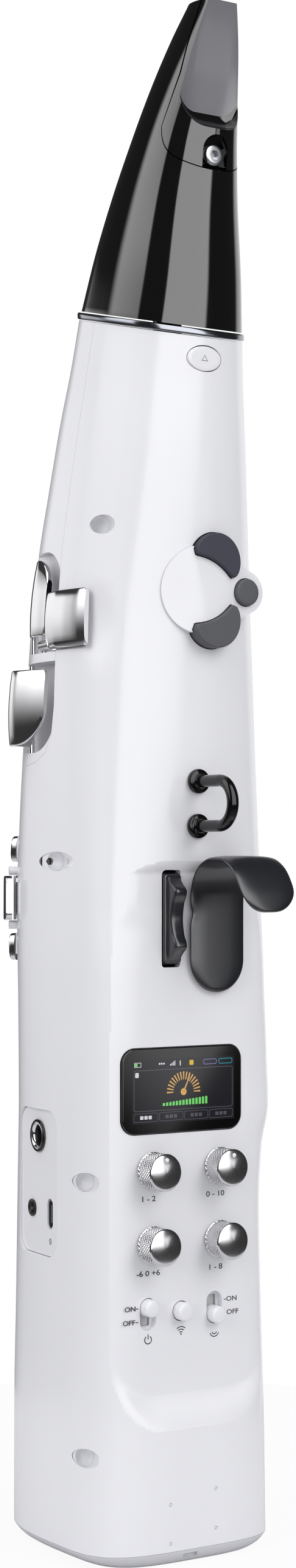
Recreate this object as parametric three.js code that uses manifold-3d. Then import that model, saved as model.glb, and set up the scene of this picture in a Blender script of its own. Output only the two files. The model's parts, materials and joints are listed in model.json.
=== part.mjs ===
// A digital wind controller: a saxophone-fingered electronic wind instrument, standing on its bottom cap.
// Frame: origin at the middle of the flat bottom, +Z up to the mouthpiece, -Y towards the player (display,
// knobs and thumb rest), -X the player's left (sockets and palm keys), +Y the front with the main keys.
// Sizes are in millimetres.
import * as THREE from "three";
import { mergeVertices } from "three/addons/utils/BufferGeometryUtils.js";
import Module from "manifold-3d";

const wasm = await Module();
wasm.setup();

// Shared clearances and wall sizes.
const gap = 0.3; // between neighbouring pieces
const overrun = 2; // how far a cutter runs past what it cuts
const wall = 2.4; // shell wall
const keyTravel = 1.6;
const buttonTravel = 1;

// The moulded cap that closes the foot and is the base.
const cap = {
  height: 4.5,
  insetX: 7,
  insetY: 3.6,
  rim: 5,
  rimWall: 2,
  slotX: -3,
  slotWidth: 6,
  slotLow: 2,
  slotHeight: 1.5,
  slotDepth: 4,
};
// Rows: height share, inset share.
const capShares = [
  [0, 1],
  [0.28, 0.5],
  [0.62, 0.2],
  [1, 0.04],
];

// The housing, a lofted shell parted along its widest line. Its height is counted from the base.
const body = { height: 424, halfWidth: 38, thumbReach: 41, frontReach: 44, parting: 12 };
const foot = cap.height + gap;
// Each row: height share, left and right width shares, thumb reach share, parting share, front reach share,
// squareness of the thumb side, squareness of the front, and the lean of the station.
const stationShares = [
  [0, 1, 0.99, 1, 1, 1, 3.7, 2.8, 0],
  [0.096, 1, 0.97, 1, 1, 0.995, 3.7, 2.8, 0],
  [0.191, 1, 0.93, 1, 1, 0.957, 3.7, 2.8, 0],
  [0.275, 1, 0.905, 1, 1, 0.927, 3.7, 2.8, 0],
  [0.322, 1, 0.94, 1, 1, 0.91, 3.7, 2.8, 0],
  [0.356, 1, 1.025, 1, 1, 0.9, 3.7, 2.8, 0],
  [0.406, 1, 1, 1, 1, 0.905, 3.7, 2.8, 0],
  [0.466, 1, 0.98, 1, 0.917, 0.936, 3.6, 2.7, 0],
  [0.525, 0.997, 0.987, 0.975, 0.833, 0.95, 3.3, 2.7, 0],
  [0.585, 0.99, 0.99, 0.975, 0.708, 0.927, 3, 2.6, 0],
  [0.644, 0.979, 0.979, 0.985, 0.6, 0.87, 2.8, 2.55, 0],
  [0.704, 0.96, 0.96, 0.992, 0.542, 0.805, 2.7, 2.5, 0],
  [0.757, 0.934, 0.934, 1.007, 0.542, 0.766, 2.6, 2.45, 0.03],
  [0.811, 0.892, 0.892, 1.045, 0.6, 0.688, 2.5, 2.4, 0.07],
  [0.866, 0.839, 0.839, 1.088, 0.792, 0.582, 2.4, 2.3, 0.12],
  [0.919, 0.787, 0.787, 1.12, 1.033, 0.461, 2.3, 2.25, 0.18],
  [0.962, 0.742, 0.742, 1.131, 1.225, 0.335, 2.25, 2.2, 0.215],
  [1, 0.705, 0.705, 1.155, 1.417, 0.245, 2.2, 2.2, 0.242],
];
const halfSteps = 13; // facets round each half of the housing

// Where things stand on the housing, as shares of its height.
const placeShares = {
  panelBottom: 0.1368,
  panelShoulder: 0.5519,
  display: 0.3802,
  upperKnobs: 0.3165,
  lowerKnobs: 0.2571,
  switches: 0.2019,
  hook: 0.4575,
  rocker: 0.5177,
  thumbPlate: 0.7818,
  ports: 0.242,
  palmKeys: 0.6528,
  tableKeys: 0.4797,
  sideKeys: 0.5802,
  pinkyKeys: 0.2264,
  controlBoardLow: 0.1651,
  controlBoardHigh: 0.4481,
  keyBoardLow: 0.3585,
  keyBoardHigh: 0.7019,
};
const placeOf = (name) => placeShares[name] * body.height;

const neckRing = { height: 2.4, proud: 0.6 };

// The mouthpiece continues the housing above the ring.
const mouthpiece = {
  height: 102.5,
  halfWidth: 26.2,
  thumbReach: 47.8,
  parting: 17.6,
  frontReach: 10,
  airBore: 2.2,
  spigot: 5,
  spigotLength: 9,
  spigotY: 22,
};
const mouthpieceBase = body.height + gap + neckRing.height + gap;
// Rows as above, with reaches as shares of the mouthpiece's own.
const mouthpieceShares = [
  [0, 1, 1, 1, 1, 1, 2.2, 2.2, 0.242],
  [0.185, 0.908, 0.908, 1.03, 1.19, 0.28, 2.2, 2.2, 0.245],
  [0.38, 0.782, 0.782, 1.042, 1.45, -0.56, 2.2, 2.2, 0.25],
  [0.575, 0.641, 0.641, 1.084, 1.81, -1.5, 2.2, 2.2, 0.25],
  [0.75, 0.496, 0.496, 1.16, 2.19, -2.35, 2.3, 2.2, 0.2],
  [0.888, 0.363, 0.363, 1.22, 2.57, -3.08, 2.5, 2.2, 0.15],
  [1, 0.237, 0.237, 1.234, 2.84, -3.84, 3, 2.2, 0.1],
];
// The reed's face and seams: shares of the mouthpiece's thumb reach, then shares of its height.
const reedReachShares = {
  face: 1.1632,
  seamTip: 1.117,
  seamMiddle: 0.9874,
  seamLow: 0.8577,
  heel: 1.255,
  bore: 0.971,
};
const reedRiseShares = { faceBottom: 0.644, seamMiddle: 0.761, seamLow: 0.556, heel: 0.5034, screw: 0.4976 };
// Lean of the flat face, lean under the heel, and how the run-out and the slit narrow.
const reedSlopeShares = { face: 0.273, heel: 0.7, runout: 0.75, slit: 0.55 };
const reed = { runout: 9, heelDrop: 4, tipGap: 0.8 };
const reedScrew = { headRadius: 3.6, headHeight: 2.2, shankRadius: 1.8, length: 9, socket: 3.4 };
const screwBay = { halfWidth: 5, floorShare: 1.0084, top: 1.6 };

// The control panel: a flat floor let into the thumb face under an arched ledge.
const panel = {
  depth: 3.5,
  halfWidth: 33,
  crown: 6.5,
  cornerRadius: 16,
  bottomSlope: 5,
  sideSlope: 4,
  topSlope: 1.4,
  backing: 2.6,
};
const panelFloor = body.thumbReach - panel.depth;
const acrossPanel = (share) => share * panel.halfWidth;
const display = { xShare: -0.1333, width: 49, height: 29, radius: 5, thickness: 1.6, proud: 0.3 };
const displayFrameShare = 0.86;
const knob = {
  radius: 6.4,
  height: 9.1,
  dish: 0.9,
  crown: 0.9,
  fluteDepth: 0.4,
  dishRadius: 4.4,
  shaftRadius: 3,
  shaftStop: 0.3,
  lift: 0.4,
};
const knobFlutes = 14;
const knobShares = [-0.506, 0.3333];
const slideSwitch = {
  width: 6.5,
  length: 11.1,
  sink: 2,
  capRadius: 3,
  capHeight: 3.4,
  crown: 0.6,
  travel: 4.6,
  stem: 3.2,
};
const switchShares = [-0.5576, 0.2727];
const pairButton = { xShare: -0.1485, radius: 3.2, height: 3.6, flange: 1, flangeRadius: 4.2 };
const pinhole = { radius: 0.6 };
// Shares of the half width and of the height.
const pinholeShares = [
  [-0.3, 0.0493],
  [0.192, 0.025],
];

const hook = {
  xShare: 0.2758,
  halfWidth: 11.1,
  thickness: 2.4,
  plate: 35,
  rise: 47,
  reach: 33.2,
  lipCorner: 8,
};
// The arch over the thumb seen from the side: reach share and rise share, outer path then inner path.
const hookOuterShares = [
  [0, 0.68],
  [0, 0.787],
  [0.048, 0.864],
  [0.127, 0.928],
  [0.298, 0.981],
  [0.452, 1],
  [0.699, 0.979],
  [0.889, 0.864],
  [0.988, 0.723],
  [1, 0.596],
];
const hookInnerShares = [
  [0.072, 0.68],
  [0.114, 0.804],
  [0.187, 0.877],
  [0.325, 0.919],
  [0.458, 0.932],
  [0.669, 0.906],
  [0.813, 0.817],
  [0.898, 0.702],
  [0.922, 0.596],
];
const strapRing = {
  wire: 2.05,
  legGap: 15.3,
  overHook: 17.7,
  reach: 21,
  bend: 6,
  collarRadius: 4.2,
  collarHeight: 2.4,
};
const rocker = {
  xShare: -0.2727,
  width: 7,
  length: 30.4,
  bump: 6.4,
  axleDepth: 1.6,
  axle: 1.1,
  ear: 1.8,
  keel: 2.4,
};
const rockerEndShare = 0.985;
// The rocker's saddle seen from the side: share of the half length, share of the bump's height.
const rockerShares = [
  [-0.985, 0.45],
  [-0.9, 0.75],
  [-0.62, 1],
  [-0.33, 0.72],
  [0, 0.53],
  [0.33, 0.72],
  [0.62, 1],
  [0.9, 0.75],
  [0.985, 0.45],
];
const thumbPlate = { radius: 15.2, proud: 2.37, lugX: 17.6, lugRadius: 7.3, depth: 12 };
const octaveButton = {
  outerTip: 14.1,
  outerSwell: 6.7,
  innerTip: 12.5,
  innerDip: 1.8,
  proud: 1.5,
  skirt: 4.2,
  well: 7.6,
};
const octaveDegrees = { from: 22, to: 106 };
const thumbButton = { radius: 4.6, proud: 1.4, skirt: 4.2, well: 6.6 };
const neckButton = { drop: 14.4, x: -1.4, halfWidth: 6.7, halfHeight: 4.2, proud: 0.3, depth: 4 };

// Sockets on the player's left. Their places are shares of the panel's width and length.
const portPanel = { middle: 4.2, width: 29.6, length: 50.4, radius: 6, thickness: 1.6, sink: 0.4 };
const jack = {
  yShare: 0.0135,
  zShare: 0.8135,
  nutRadius: 5.7,
  sleeve: 4.3,
  bore: 3.3,
  boreDepth: 22,
  length: 25,
  nutProud: 0.7,
};
const phones = {
  yShare: 0.1858,
  zShare: 0.3056,
  nutRadius: 3,
  sleeve: 2.5,
  bore: 1.8,
  boreDepth: 13,
  length: 15,
  nutProud: 0.4,
};
const usb = { yShare: -0.2905, zShare: 0.2917, width: 3.4, height: 9.3, metal: 0.35, depth: 8, tongue: 0.7 };
const chargeLight = { yShare: -0.2973, zShare: 0.1032, radius: 0.8, length: 4 };

// Screw recesses on both flanks. Each place is a share of the height, the half width and the thumb reach.
const screwBore = { radius: 3.3, lead: 15, sink: 12 };
const screwTurnDegrees = 17;
const screwBoreShares = [
  [0.0877, 0.968, 0.678],
  [0.3078, 0.968, 0.683],
  [0.5637, 0.992, 0.249],
  [0.8337, 0.787, 0.661],
];

// The seam between the shells seen from the side: share of the front reach, share of the height. It runs
// down behind the flank's silhouette, turns round the lower palm key's bay and climbs the widest line.
const seamShares = [
  [0.68, -0.02],
  [0.68, 0.43],
  [0.6, 0.484],
  [0.5, 0.566],
  [0.45, 0.632],
  [0.34, 0.6425],
  [0.13, 0.645],
  [-0.03, 0.652],
  [-0.12, 0.667],
  [-0.15, 0.69],
  [-0.148, 0.76],
  [-0.162, 0.814],
  [-0.214, 0.868],
  [-0.28, 0.92],
  [-0.333, 0.962],
  [-0.387, 1],
  [-0.45, 1.03],
];

// Keys. Round keys sit on the front: x, share of the height and radius of each cap.
const roundKey = { proud: 2.6, depth: 5.4, dish: 0.8, rimShare: 0.84 };
const roundKeys = {
  front_f_key: { x: -4, zShare: 0.8231, radius: 6 },
  b_key: { x: 0, zShare: 0.7807, radius: 8.6 },
  bis_key: { x: 7.4, zShare: 0.7491, radius: 4.2 },
  a_key: { x: 0, zShare: 0.717, radius: 8.6 },
  g_key: { x: 0, zShare: 0.658, radius: 8.6 },
  f_key: { x: 0, zShare: 0.4646, radius: 8.6 },
  f_sharp_key: { x: 9.4, zShare: 0.434, radius: 4.2 },
  e_key: { x: 0, zShare: 0.4033, radius: 8.6 },
  d_key: { x: 0, zShare: 0.342, radius: 8.6 },
};

// Palm keys: paddles that turn about an upright barrel in a bay. Plan points run along the outer face, from
// the free end to the barrel, as shares of the half width and the front reach. Lean is how far the top edge
// stands in from the bottom edge.
const paddle = { thickness: 2.2, barrel: 1.7, swingRoom: 1.3 };
const palmBay = { lining: 1.5 };
const palmBays = {
  upper: {
    rise: 34.6,
    height: 35.2,
    backShare: -0.182,
    frontShare: 0.409,
    floorShare: 0.7263,
    radius: 12,
    top: 1,
  },
  lower: {
    rise: 0,
    height: 31.4,
    backShare: -0.182,
    frontShare: 0.532,
    floorShare: 0.6842,
    radius: 15,
    top: 0,
  },
};
const palmKeys = {
  palm_key_high: {
    bay: "upper",
    rise: 5.8,
    height: 26.8,
    lean: 3,
    corner: 9,
    planShares: [
      [-1, -0.0227],
      [-1.0132, 0.1136],
      [-0.9632, 0.25],
      [-0.8895, 0.3182],
    ],
    barrelShares: [-0.8474, 0.3227],
  },
  palm_key_middle: {
    bay: "upper",
    rise: 0.6,
    height: 20,
    lean: 0.6,
    arm: 4.4,
    planShares: [
      [-0.9737, -0.5909],
      [-1.0263, -0.2091],
      [-0.9921, -0.0432],
    ],
    barrelShares: [-0.8632, 0.1455],
  },
  palm_key_low: {
    bay: "lower",
    rise: 2.6,
    height: 26.2,
    lean: 1,
    corner: 12.6,
    planShares: [
      [-1, -0.0227],
      [-1.0895, 0.1364],
      [-1.1289, 0.2955],
      [-1.0368, 0.4273],
      [-0.8053, 0.4773],
    ],
    barrelShares: [-0.7789, 0.45],
  },
};

// Lever keys: plates that float over the front shell and turn about a barrel along one edge. Each has its
// group's place, its rise over it, its length along the housing, its place round the housing in degrees from
// the right flank, its width, and the side of the barrel.
const lever = { thickness: 2, lift: 3.2, barrel: 1.3, post: 1.5, corner: 2.4 };
const leverKeys = {
  table_key_g_sharp: { group: "tableKeys", rise: 35.4, length: 9.2, around: 112, width: 14, hinge: -1 },
  table_key_b: { group: "tableKeys", rise: 14.8, length: 15.6, around: 112, width: 8, hinge: -1 },
  table_key_c_sharp: { group: "tableKeys", rise: 14.8, length: 15.6, around: 133, width: 10, hinge: -1 },
  table_key_b_flat: { group: "tableKeys", rise: 0, length: 9.6, around: 112, width: 14, hinge: -1 },
  side_key_upper: { group: "sideKeys", rise: 40, length: 14, around: 50, width: 8, hinge: 1 },
  side_key_middle: { group: "sideKeys", rise: 20, length: 14, around: 50, width: 8, hinge: 1 },
  side_key_lower: { group: "sideKeys", rise: 0, length: 14, around: 50, width: 8, hinge: 1 },
  pinky_key_e_flat: { group: "pinkyKeys", rise: 16, length: 12, around: 66, width: 18, hinge: 1 },
  pinky_key_c: { group: "pinkyKeys", rise: 0, length: 12, around: 66, width: 18, hinge: 1 },
};

// Inside. The control board lies behind the panel's floor, the key board behind the front.
const controlBoard = { behind: 6.9, thickness: 1.6, halfWidth: 22, pot: 4.8, postLow: 5, postHigh: 6 };
const boardPost = { radius: 2.2 };
const keyBoard = { behind: 24, thickness: 1.6, halfWidth: 11, postInset: 6.2 };
const battery = { halfWidth: 17, back: 10, front: 18, height: 83.2 };
const sensor = { halfWidth: 8, behind: 12, depth: 20, drop: 44, height: 11, shelf: 3, port: 2.2 };
const airTube = { radius: 4.2, bore: 2.8 };

// Places worked out from the sizes.
const reedReach = (name) => reedReachShares[name] * mouthpiece.thumbReach;
const reedRise = (name) => mouthpieceBase + reedRiseShares[name] * mouthpiece.height;
const mouthpieceTip = mouthpieceBase + mouthpiece.height;
const displayX = acrossPanel(display.xShare);
const displayZ = placeOf("display");
const knobX = knobShares.map(acrossPanel);
const knobZ = [placeOf("upperKnobs"), placeOf("lowerKnobs")];
const switchX = switchShares.map(acrossPanel);
const switchZ = placeOf("switches");
const pairX = acrossPanel(pairButton.xShare);
const hookX = acrossPanel(hook.xShare);
const hookBottom = placeOf("hook");
const ringZ = hookBottom + hook.rise + strapRing.overHook;
const rockerX = acrossPanel(rocker.xShare);
const rockerZ = placeOf("rocker");
const plateZ = placeOf("thumbPlate");
const neckButtonZ = body.height - neckButton.drop;
const portLow = placeOf("ports");
const portFront = portPanel.middle + portPanel.width / 2;
const portBack = portPanel.middle - portPanel.width / 2;
const portY = (piece) => portPanel.middle + piece.yShare * portPanel.width;
const portZ = (piece) => portLow + piece.zShare * portPanel.length;
const boardY = -(panelFloor - controlBoard.behind);
const [boardLow, boardHigh] = [placeOf("controlBoardLow"), placeOf("controlBoardHigh")];
const keyBoardY = body.frontReach - keyBoard.behind;
const [keyBoardLow, keyBoardHigh] = [placeOf("keyBoardLow"), placeOf("keyBoardHigh")];
const sensorBack = -mouthpiece.spigotY - sensor.behind;
const sensorFront = sensorBack + sensor.depth;
const sensorLow = body.height - sensor.drop;
const sensorHigh = sensorLow + sensor.height;

const color = {
  white: 0xe9e9ee,
  capWhite: 0xdcdce2,
  black: 0x0c0c0e,
  satin: 0x26272b,
  chrome: 0xb9bbc0,
  glass: 0x050507,
  board: 0x1d4a33,
  steel: 0x8d9097,
  cell: 0x2b5fa8,
  cream: 0xd8d6cf,
};

// Geometry helpers.

// A closed three.js geometry as a solid that can be joined and cut.
function solid(geometry) {
  const bare = geometry.clone();
  for (const name of ["normal", "uv"]) bare.deleteAttribute(name);
  const merged = mergeVertices(bare, 1e-4);
  return new wasm.Manifold(
    new wasm.Mesh({
      numProp: 3,
      vertProperties: new Float32Array(merged.attributes.position.array),
      triVerts: new Uint32Array(merged.index.array),
    }),
  );
}

// The vertices and triangles of a solid as a three.js geometry.
function geometryOf(made) {
  const mesh = made.getMesh();
  const geometry = new THREE.BufferGeometry();
  const points = new Float32Array(mesh.numVert * 3);
  for (let i = 0; i < mesh.numVert; i++) {
    points.set(mesh.vertProperties.subarray(i * mesh.numProp, i * mesh.numProp + 3), i * 3);
  }
  geometry.setAttribute("position", new THREE.BufferAttribute(points, 3));
  geometry.setIndex(new THREE.BufferAttribute(mesh.triVerts, 1));
  geometry.computeVertexNormals();
  return geometry;
}

const radians = THREE.MathUtils.degToRad;

// A box between two corners.
function block([x0, y0, z0], [x1, y1, z1]) {
  const geometry = new THREE.BoxGeometry(x1 - x0, y1 - y0, z1 - z0);
  return solid(geometry.translate((x0 + x1) / 2, (y0 + y1) / 2, (z0 + z1) / 2));
}

// A round bar from one point to another, with the radius at each end.
function bar(from, to, radius, sides = 20, endRadius = radius) {
  const a = new THREE.Vector3(...from);
  const b = new THREE.Vector3(...to);
  const along = b.clone().sub(a);
  const geometry = new THREE.CylinderGeometry(endRadius, radius, along.length(), sides);
  const turn = new THREE.Quaternion().setFromUnitVectors(
    new THREE.Vector3(0, 1, 0),
    along.clone().normalize(),
  );
  geometry.applyQuaternion(turn);
  const middle = a.add(b).multiplyScalar(1 / 2);
  return solid(geometry.translate(middle.x, middle.y, middle.z));
}

// An outline in X and Z, extruded along Y between two places.
function slabY(shape, y0, y1, curveSegments = 8) {
  const geometry = new THREE.ExtrudeGeometry(shape, { depth: y1 - y0, bevelEnabled: false, curveSegments });
  geometry.rotateX(Math.PI / 2);
  return solid(geometry.translate(0, y1, 0));
}

// An outline in Y and Z, extruded along X between two places.
function slabX(shape, x0, x1, curveSegments = 8) {
  const geometry = new THREE.ExtrudeGeometry(shape, { depth: x1 - x0, bevelEnabled: false, curveSegments });
  geometry.rotateX(Math.PI / 2);
  geometry.rotateZ(Math.PI / 2);
  return solid(geometry.translate(x0, 0, 0));
}

// A rectangle with round corners about a centre.
function roundedShape(width, height, radius, cx = 0, cz = 0) {
  const shape = new THREE.Shape();
  const [x0, x1] = [cx - width / 2, cx + width / 2];
  const [z0, z1] = [cz - height / 2, cz + height / 2];
  shape.moveTo(x0 + radius, z0);
  shape.lineTo(x1 - radius, z0);
  shape.absarc(x1 - radius, z0 + radius, radius, -Math.PI / 2, 0);
  shape.lineTo(x1, z1 - radius);
  shape.absarc(x1 - radius, z1 - radius, radius, 0, Math.PI / 2);
  shape.lineTo(x0 + radius, z1);
  shape.absarc(x0 + radius, z1 - radius, radius, Math.PI / 2, Math.PI);
  shape.lineTo(x0, z0 + radius);
  shape.absarc(x0 + radius, z0 + radius, radius, Math.PI, (3 * Math.PI) / 2);
  return shape;
}

// A straight-sided outline from pairs.
function flat(points) {
  return new THREE.Shape(points.map(([a, b]) => new THREE.Vector2(a, b)));
}

function circleShape(radius, cx = 0, cz = 0) {
  return new THREE.Shape().absarc(cx, cz, radius, 0, 2 * Math.PI);
}

// A closed solid through rings of points with the same count, with a fan at each end.
function loft(rings) {
  const count = rings[0].length;
  const points = rings.flat();
  const faces = [];
  for (let r = 0; r + 1 < rings.length; r++) {
    for (let i = 0; i < count; i++) {
      const [a, b] = [r * count + i, r * count + ((i + 1) % count)];
      faces.push(a, b, b + count, a, b + count, a + count);
    }
  }
  const ends = [
    [0, true],
    [(rings.length - 1) * count, false],
  ];
  for (const [first, isBottom] of ends) {
    const middle = new THREE.Vector3();
    for (let i = 0; i < count; i++) middle.addScaledVector(points[first + i], 1 / count);
    const hub = points.push(middle) - 1;
    for (let i = 0; i < count; i++) {
      const [a, b] = [first + i, first + ((i + 1) % count)];
      faces.push(...(isBottom ? [hub, b, a] : [hub, a, b]));
    }
  }
  return facingOut(points, faces);
}

// A solid from points and triangles, turned right side out if the triangles run the other way.
function facingOut(points, faces) {
  const geometry = new THREE.BufferGeometry().setFromPoints(points);
  geometry.setIndex(faces);
  const made = solid(geometry);
  if (made.volume() > 0) return made;
  geometry.setIndex(faces.slice().reverse());
  return solid(geometry);
}

// Sections of the housing and of the mouthpiece.

// The named sizes of one station, from its row of shares.
function stationFrom(row, base, height, whole) {
  const [rise, left, right, thumb, parting, front, thumbSquare, frontSquare, lean] = row;
  return {
    z: base + rise * height,
    left: left * whole.halfWidth,
    right: right * whole.halfWidth,
    thumb: -thumb * whole.thumbReach,
    parting: -parting * whole.parting,
    front: front * whole.frontReach,
    thumbSquare,
    frontSquare,
    lean,
  };
}

const bodyStations = stationShares.map((row) => stationFrom(row, foot, body.height - foot, body));
const mouthpieceStations = mouthpieceShares.map((row) =>
  stationFrom(row, mouthpieceBase, mouthpiece.height, mouthpiece),
);

// A station part way between its neighbours.
function stationAt(z, stations) {
  const last = stations.length - 1;
  const above = Math.min(Math.max(stations.findIndex((s) => s.z >= z), 1), last);
  const [low, high] = [stations[above - 1], stations[above]];
  const share = Math.min(Math.max((z - low.z) / (high.z - low.z), 0), 1);
  const mixed = {};
  for (const name of Object.keys(low)) mixed[name] = low[name] + (high[name] - low[name]) * share;
  return mixed;
}

// One point of a station's outline at a polar angle about the parting line, drawn in by an inset.
function outlinePoint(station, angle, inset = 0) {
  const [across, along] = [Math.cos(angle), Math.sin(angle)];
  const width = (across < 0 ? station.left : station.right) - inset;
  const reach = (along < 0 ? station.parting - station.thumb : station.front - station.parting) - inset;
  const square = along < 0 ? station.thumbSquare : station.frontSquare;
  const size = ((Math.abs(across) / width) ** square + (Math.abs(along) / reach) ** square) ** (-1 / square);
  const y = size * along;
  return new THREE.Vector3(size * across, station.parting + y, station.z + station.lean * y);
}

function ring(station, inset = 0, steps = 2 * halfSteps) {
  return Array.from({ length: steps }, (_, i) => outlinePoint(station, (i / steps) * 2 * Math.PI, inset));
}

// How far out the thumb face (sign -1) or the front (sign 1) lies at x and z.
function faceY(x, z, sign, stations = bodyStations, inset = 0) {
  const s = stationAt(z, stations);
  const width = (x < 0 ? s.left : s.right) - inset;
  const square = sign < 0 ? s.thumbSquare : s.frontSquare;
  const reach = (sign < 0 ? s.parting - s.thumb : s.front - s.parting) - inset;
  return s.parting + sign * reach * (1 - Math.abs(x / width) ** square) ** (1 / square);
}

// How far out the flank lies at y and z, on the left (sign -1) or the right (sign 1).
function flankX(y, z, sign, inset = 0) {
  const s = stationAt(z, bodyStations);
  const width = (sign < 0 ? s.left : s.right) - inset;
  const thumbSide = y < s.parting;
  const square = thumbSide ? s.thumbSquare : s.frontSquare;
  const reach = (thumbSide ? s.parting - s.thumb : s.front - s.parting) - inset;
  return sign * width * (1 - Math.abs((y - s.parting) / reach) ** square) ** (1 / square);
}

const outerBody = loft(bodyStations.map((s) => ring(s)));
// The middle of the wall, where bosses and linings end.
const wallMiddle = loft(bodyStations.map((s) => ring(s, wall / 2)));

// The two moulded shells.

// Up to the ledge the inner face stays behind the panel's floor.
const backingY = -panelFloor + panel.backing;
const ledge = placeOf("panelShoulder") + panel.crown + overrun;

// A ring of the hollow inside the wall.
function innerRing(station, inset, z = station.z) {
  const points = ring({ ...station, z }, inset);
  if (station.z < ledge) for (const p of points) p.y = Math.max(p.y, backingY + inset - wall);
  return points;
}

// The seam between the shells as seen from the side, moved by a distance to the front.
const seamLine = seamShares.map(([y, z]) => [y * body.frontReach, z * body.height]);

function seamShape(shift, isFront) {
  const line = seamLine.map(([y, z], i) => {
    const [ay, az] = seamLine[Math.max(i - 1, 0)];
    const [by, bz] = seamLine[Math.min(i + 1, seamLine.length - 1)];
    const normal = new THREE.Vector2(bz - az, ay - by).normalize();
    return [y + shift * normal.x, z + shift * normal.y];
  });
  const far = (isFront ? 2 : -2) * body.thumbReach;
  return flat([[far, line[0][1]], ...line, [far, line.at(-1)[1]]]);
}

// One half of the hollow housing, on one side of the seam.
function halfShell(isFront) {
  const [first, last] = [bodyStations[0], bodyStations.at(-1)];
  const hollow = loft([
    innerRing(first, wall, first.z - overrun),
    ...bodyStations.slice(1, -1).map((s) => innerRing(s, wall)),
    innerRing(last, wall, last.z + overrun),
  ]);
  const across = 2 * body.halfWidth;
  const side = slabX(seamShape(isFront ? gap / 2 : -gap / 2, isFront), -across, across);
  return outerBody.subtract(hollow).intersect(side);
}

// What lies in front of the seam, less a margin, inside the middle of the wall.
function withinFront(margin) {
  const side = slabX(seamShape(margin, true), -2 * body.halfWidth, 2 * body.halfWidth);
  return wallMiddle.intersect(side);
}

// The outline of the panel, or of the same panel grown outwards.
function panelOutline(grow) {
  const halfWidth = panel.halfWidth + grow * panel.sideSlope;
  const bottom = placeOf("panelBottom") - grow * panel.bottomSlope;
  const top = placeOf("panelShoulder") + grow * panel.topSlope;
  const radius = panel.cornerRadius + grow * panel.bottomSlope;
  const points = [];
  const corner = 4;
  for (const side of [-1, 1]) {
    for (let i = 0; i <= corner; i++) {
      const turn = ((side < 0 ? i : corner - i) / corner) * (Math.PI / 2);
      const x = side * (halfWidth - radius + radius * Math.cos(turn));
      points.push([x, bottom + radius - radius * Math.sin(turn)]);
    }
  }
  const arch = 6;
  for (let i = 0; i <= arch; i++) {
    const x = halfWidth * (1 - (2 * i) / arch);
    points.push([x, top + panel.crown * (1 - (x / halfWidth) ** 2)]);
  }
  return points;
}

// The tool that sinks the panel: the floor's outline widening outwards.
function panelCut() {
  const deep = panelOutline(0).map(([x, z]) => new THREE.Vector3(x, -panelFloor, z));
  const faceReach = body.thumbReach + wall;
  const wide = panelOutline(1).map(([x, z]) => new THREE.Vector3(x, -faceReach, z));
  const far = wide.map((p) => p.clone().setY(-faceReach - overrun));
  return loft([deep, wide, far]);
}

// A bar along a screw recess, bored slantwise into the flank, between two distances from the surface.
function screwBar([zShare, xShare, yShare], side, fromReach, toReach, grow, sides = 8) {
  const turn = radians(screwTurnDegrees);
  const [x, y, z] = [xShare * body.halfWidth, -yShare * body.thumbReach, zShare * body.height];
  const along = [-side * Math.sin(turn), Math.cos(turn)];
  const at = (reach) => [side * x + along[0] * reach, y + along[1] * reach, z];
  return bar(at(fromReach), at(toReach), screwBore.radius + grow, sides);
}

// A palm key's bay, with one round corner at its rear, grown all round and out to a given X.
function bayPrism(bay, grow, outTo) {
  const { radius } = bay;
  const back = bay.backShare * body.frontReach;
  const y1 = bay.frontShare * body.frontReach + grow;
  const low = placeOf("palmKeys") + bay.rise;
  const [z0, z1] = [low - grow, low + bay.height + grow];
  const shape = new THREE.Shape();
  const cornerY = back + radius;
  const reach = radius + grow;
  shape.moveTo(y1, z0);
  shape.lineTo(y1, z1);
  if (bay.top) {
    shape.absarc(cornerY, z1 - reach, reach, Math.PI / 2, Math.PI);
    shape.lineTo(back - grow, z0);
  } else {
    shape.lineTo(back - grow, z1);
    shape.absarc(cornerY, z0 + reach, reach, Math.PI, (3 * Math.PI) / 2);
  }
  return slabX(shape, -outTo, -bay.floorShare * body.halfWidth + grow, 4);
}

// How far each octave button reaches from the plate's middle at a share of its sweep.
function octaveRadii(share) {
  const swell = Math.sin(Math.PI * share);
  return [
    octaveButton.outerTip + octaveButton.outerSwell * swell ** 0.8,
    octaveButton.innerTip - octaveButton.innerDip * swell ** 0.6,
  ];
}

// A crescent above (side 1) or below (side -1) the plate's middle, grown all round.
function octaveShape(side, grow) {
  const { from, to } = octaveDegrees;
  const steps = 7;
  const spread = THREE.MathUtils.radToDeg(grow / octaveButton.innerTip);
  const at = (i, isOuter) => {
    const share = i / steps;
    const [outer, inner] = octaveRadii(share);
    const angle = radians(from - spread + (to - from + 2 * spread) * share);
    const radius = isOuter ? outer + grow : inner - grow;
    return [radius * Math.cos(angle), plateZ + side * radius * Math.sin(angle)];
  };
  const points = [];
  for (let i = 0; i <= steps; i++) points.push(at(i, true));
  for (let i = steps; i >= 0; i--) points.push(at(i, false));
  return new THREE.Shape(points.map(([x, z]) => new THREE.Vector2(x, z)));
}

// The thumb plate's outline: a disc with a lug to the right.
function thumbPlateShape() {
  const { radius, lugX, lugRadius } = thumbPlate;
  const turn = Math.acos((radius - lugRadius) / lugX);
  const shape = new THREE.Shape();
  shape.absarc(0, plateZ, radius, turn, 2 * Math.PI - turn);
  shape.absarc(lugX, plateZ, lugRadius, -turn, turn);
  return shape;
}

// Where each round key's cap stands: its middle on the front face and its outward direction.
function keyPlace({ x, zShare }) {
  const z = zShare * body.height;
  const step = 4 * wall;
  const [low, high] = [faceY(x, z - step, 1), faceY(x, z + step, 1)];
  const side = faceY(x - wall, z, 1) - faceY(x + wall, z, 1);
  const out = new THREE.Vector3(side / (2 * wall), 1, (low - high) / (2 * step)).normalize();
  return { middle: new THREE.Vector3(x, faceY(x, z, 1), z), out };
}

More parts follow.
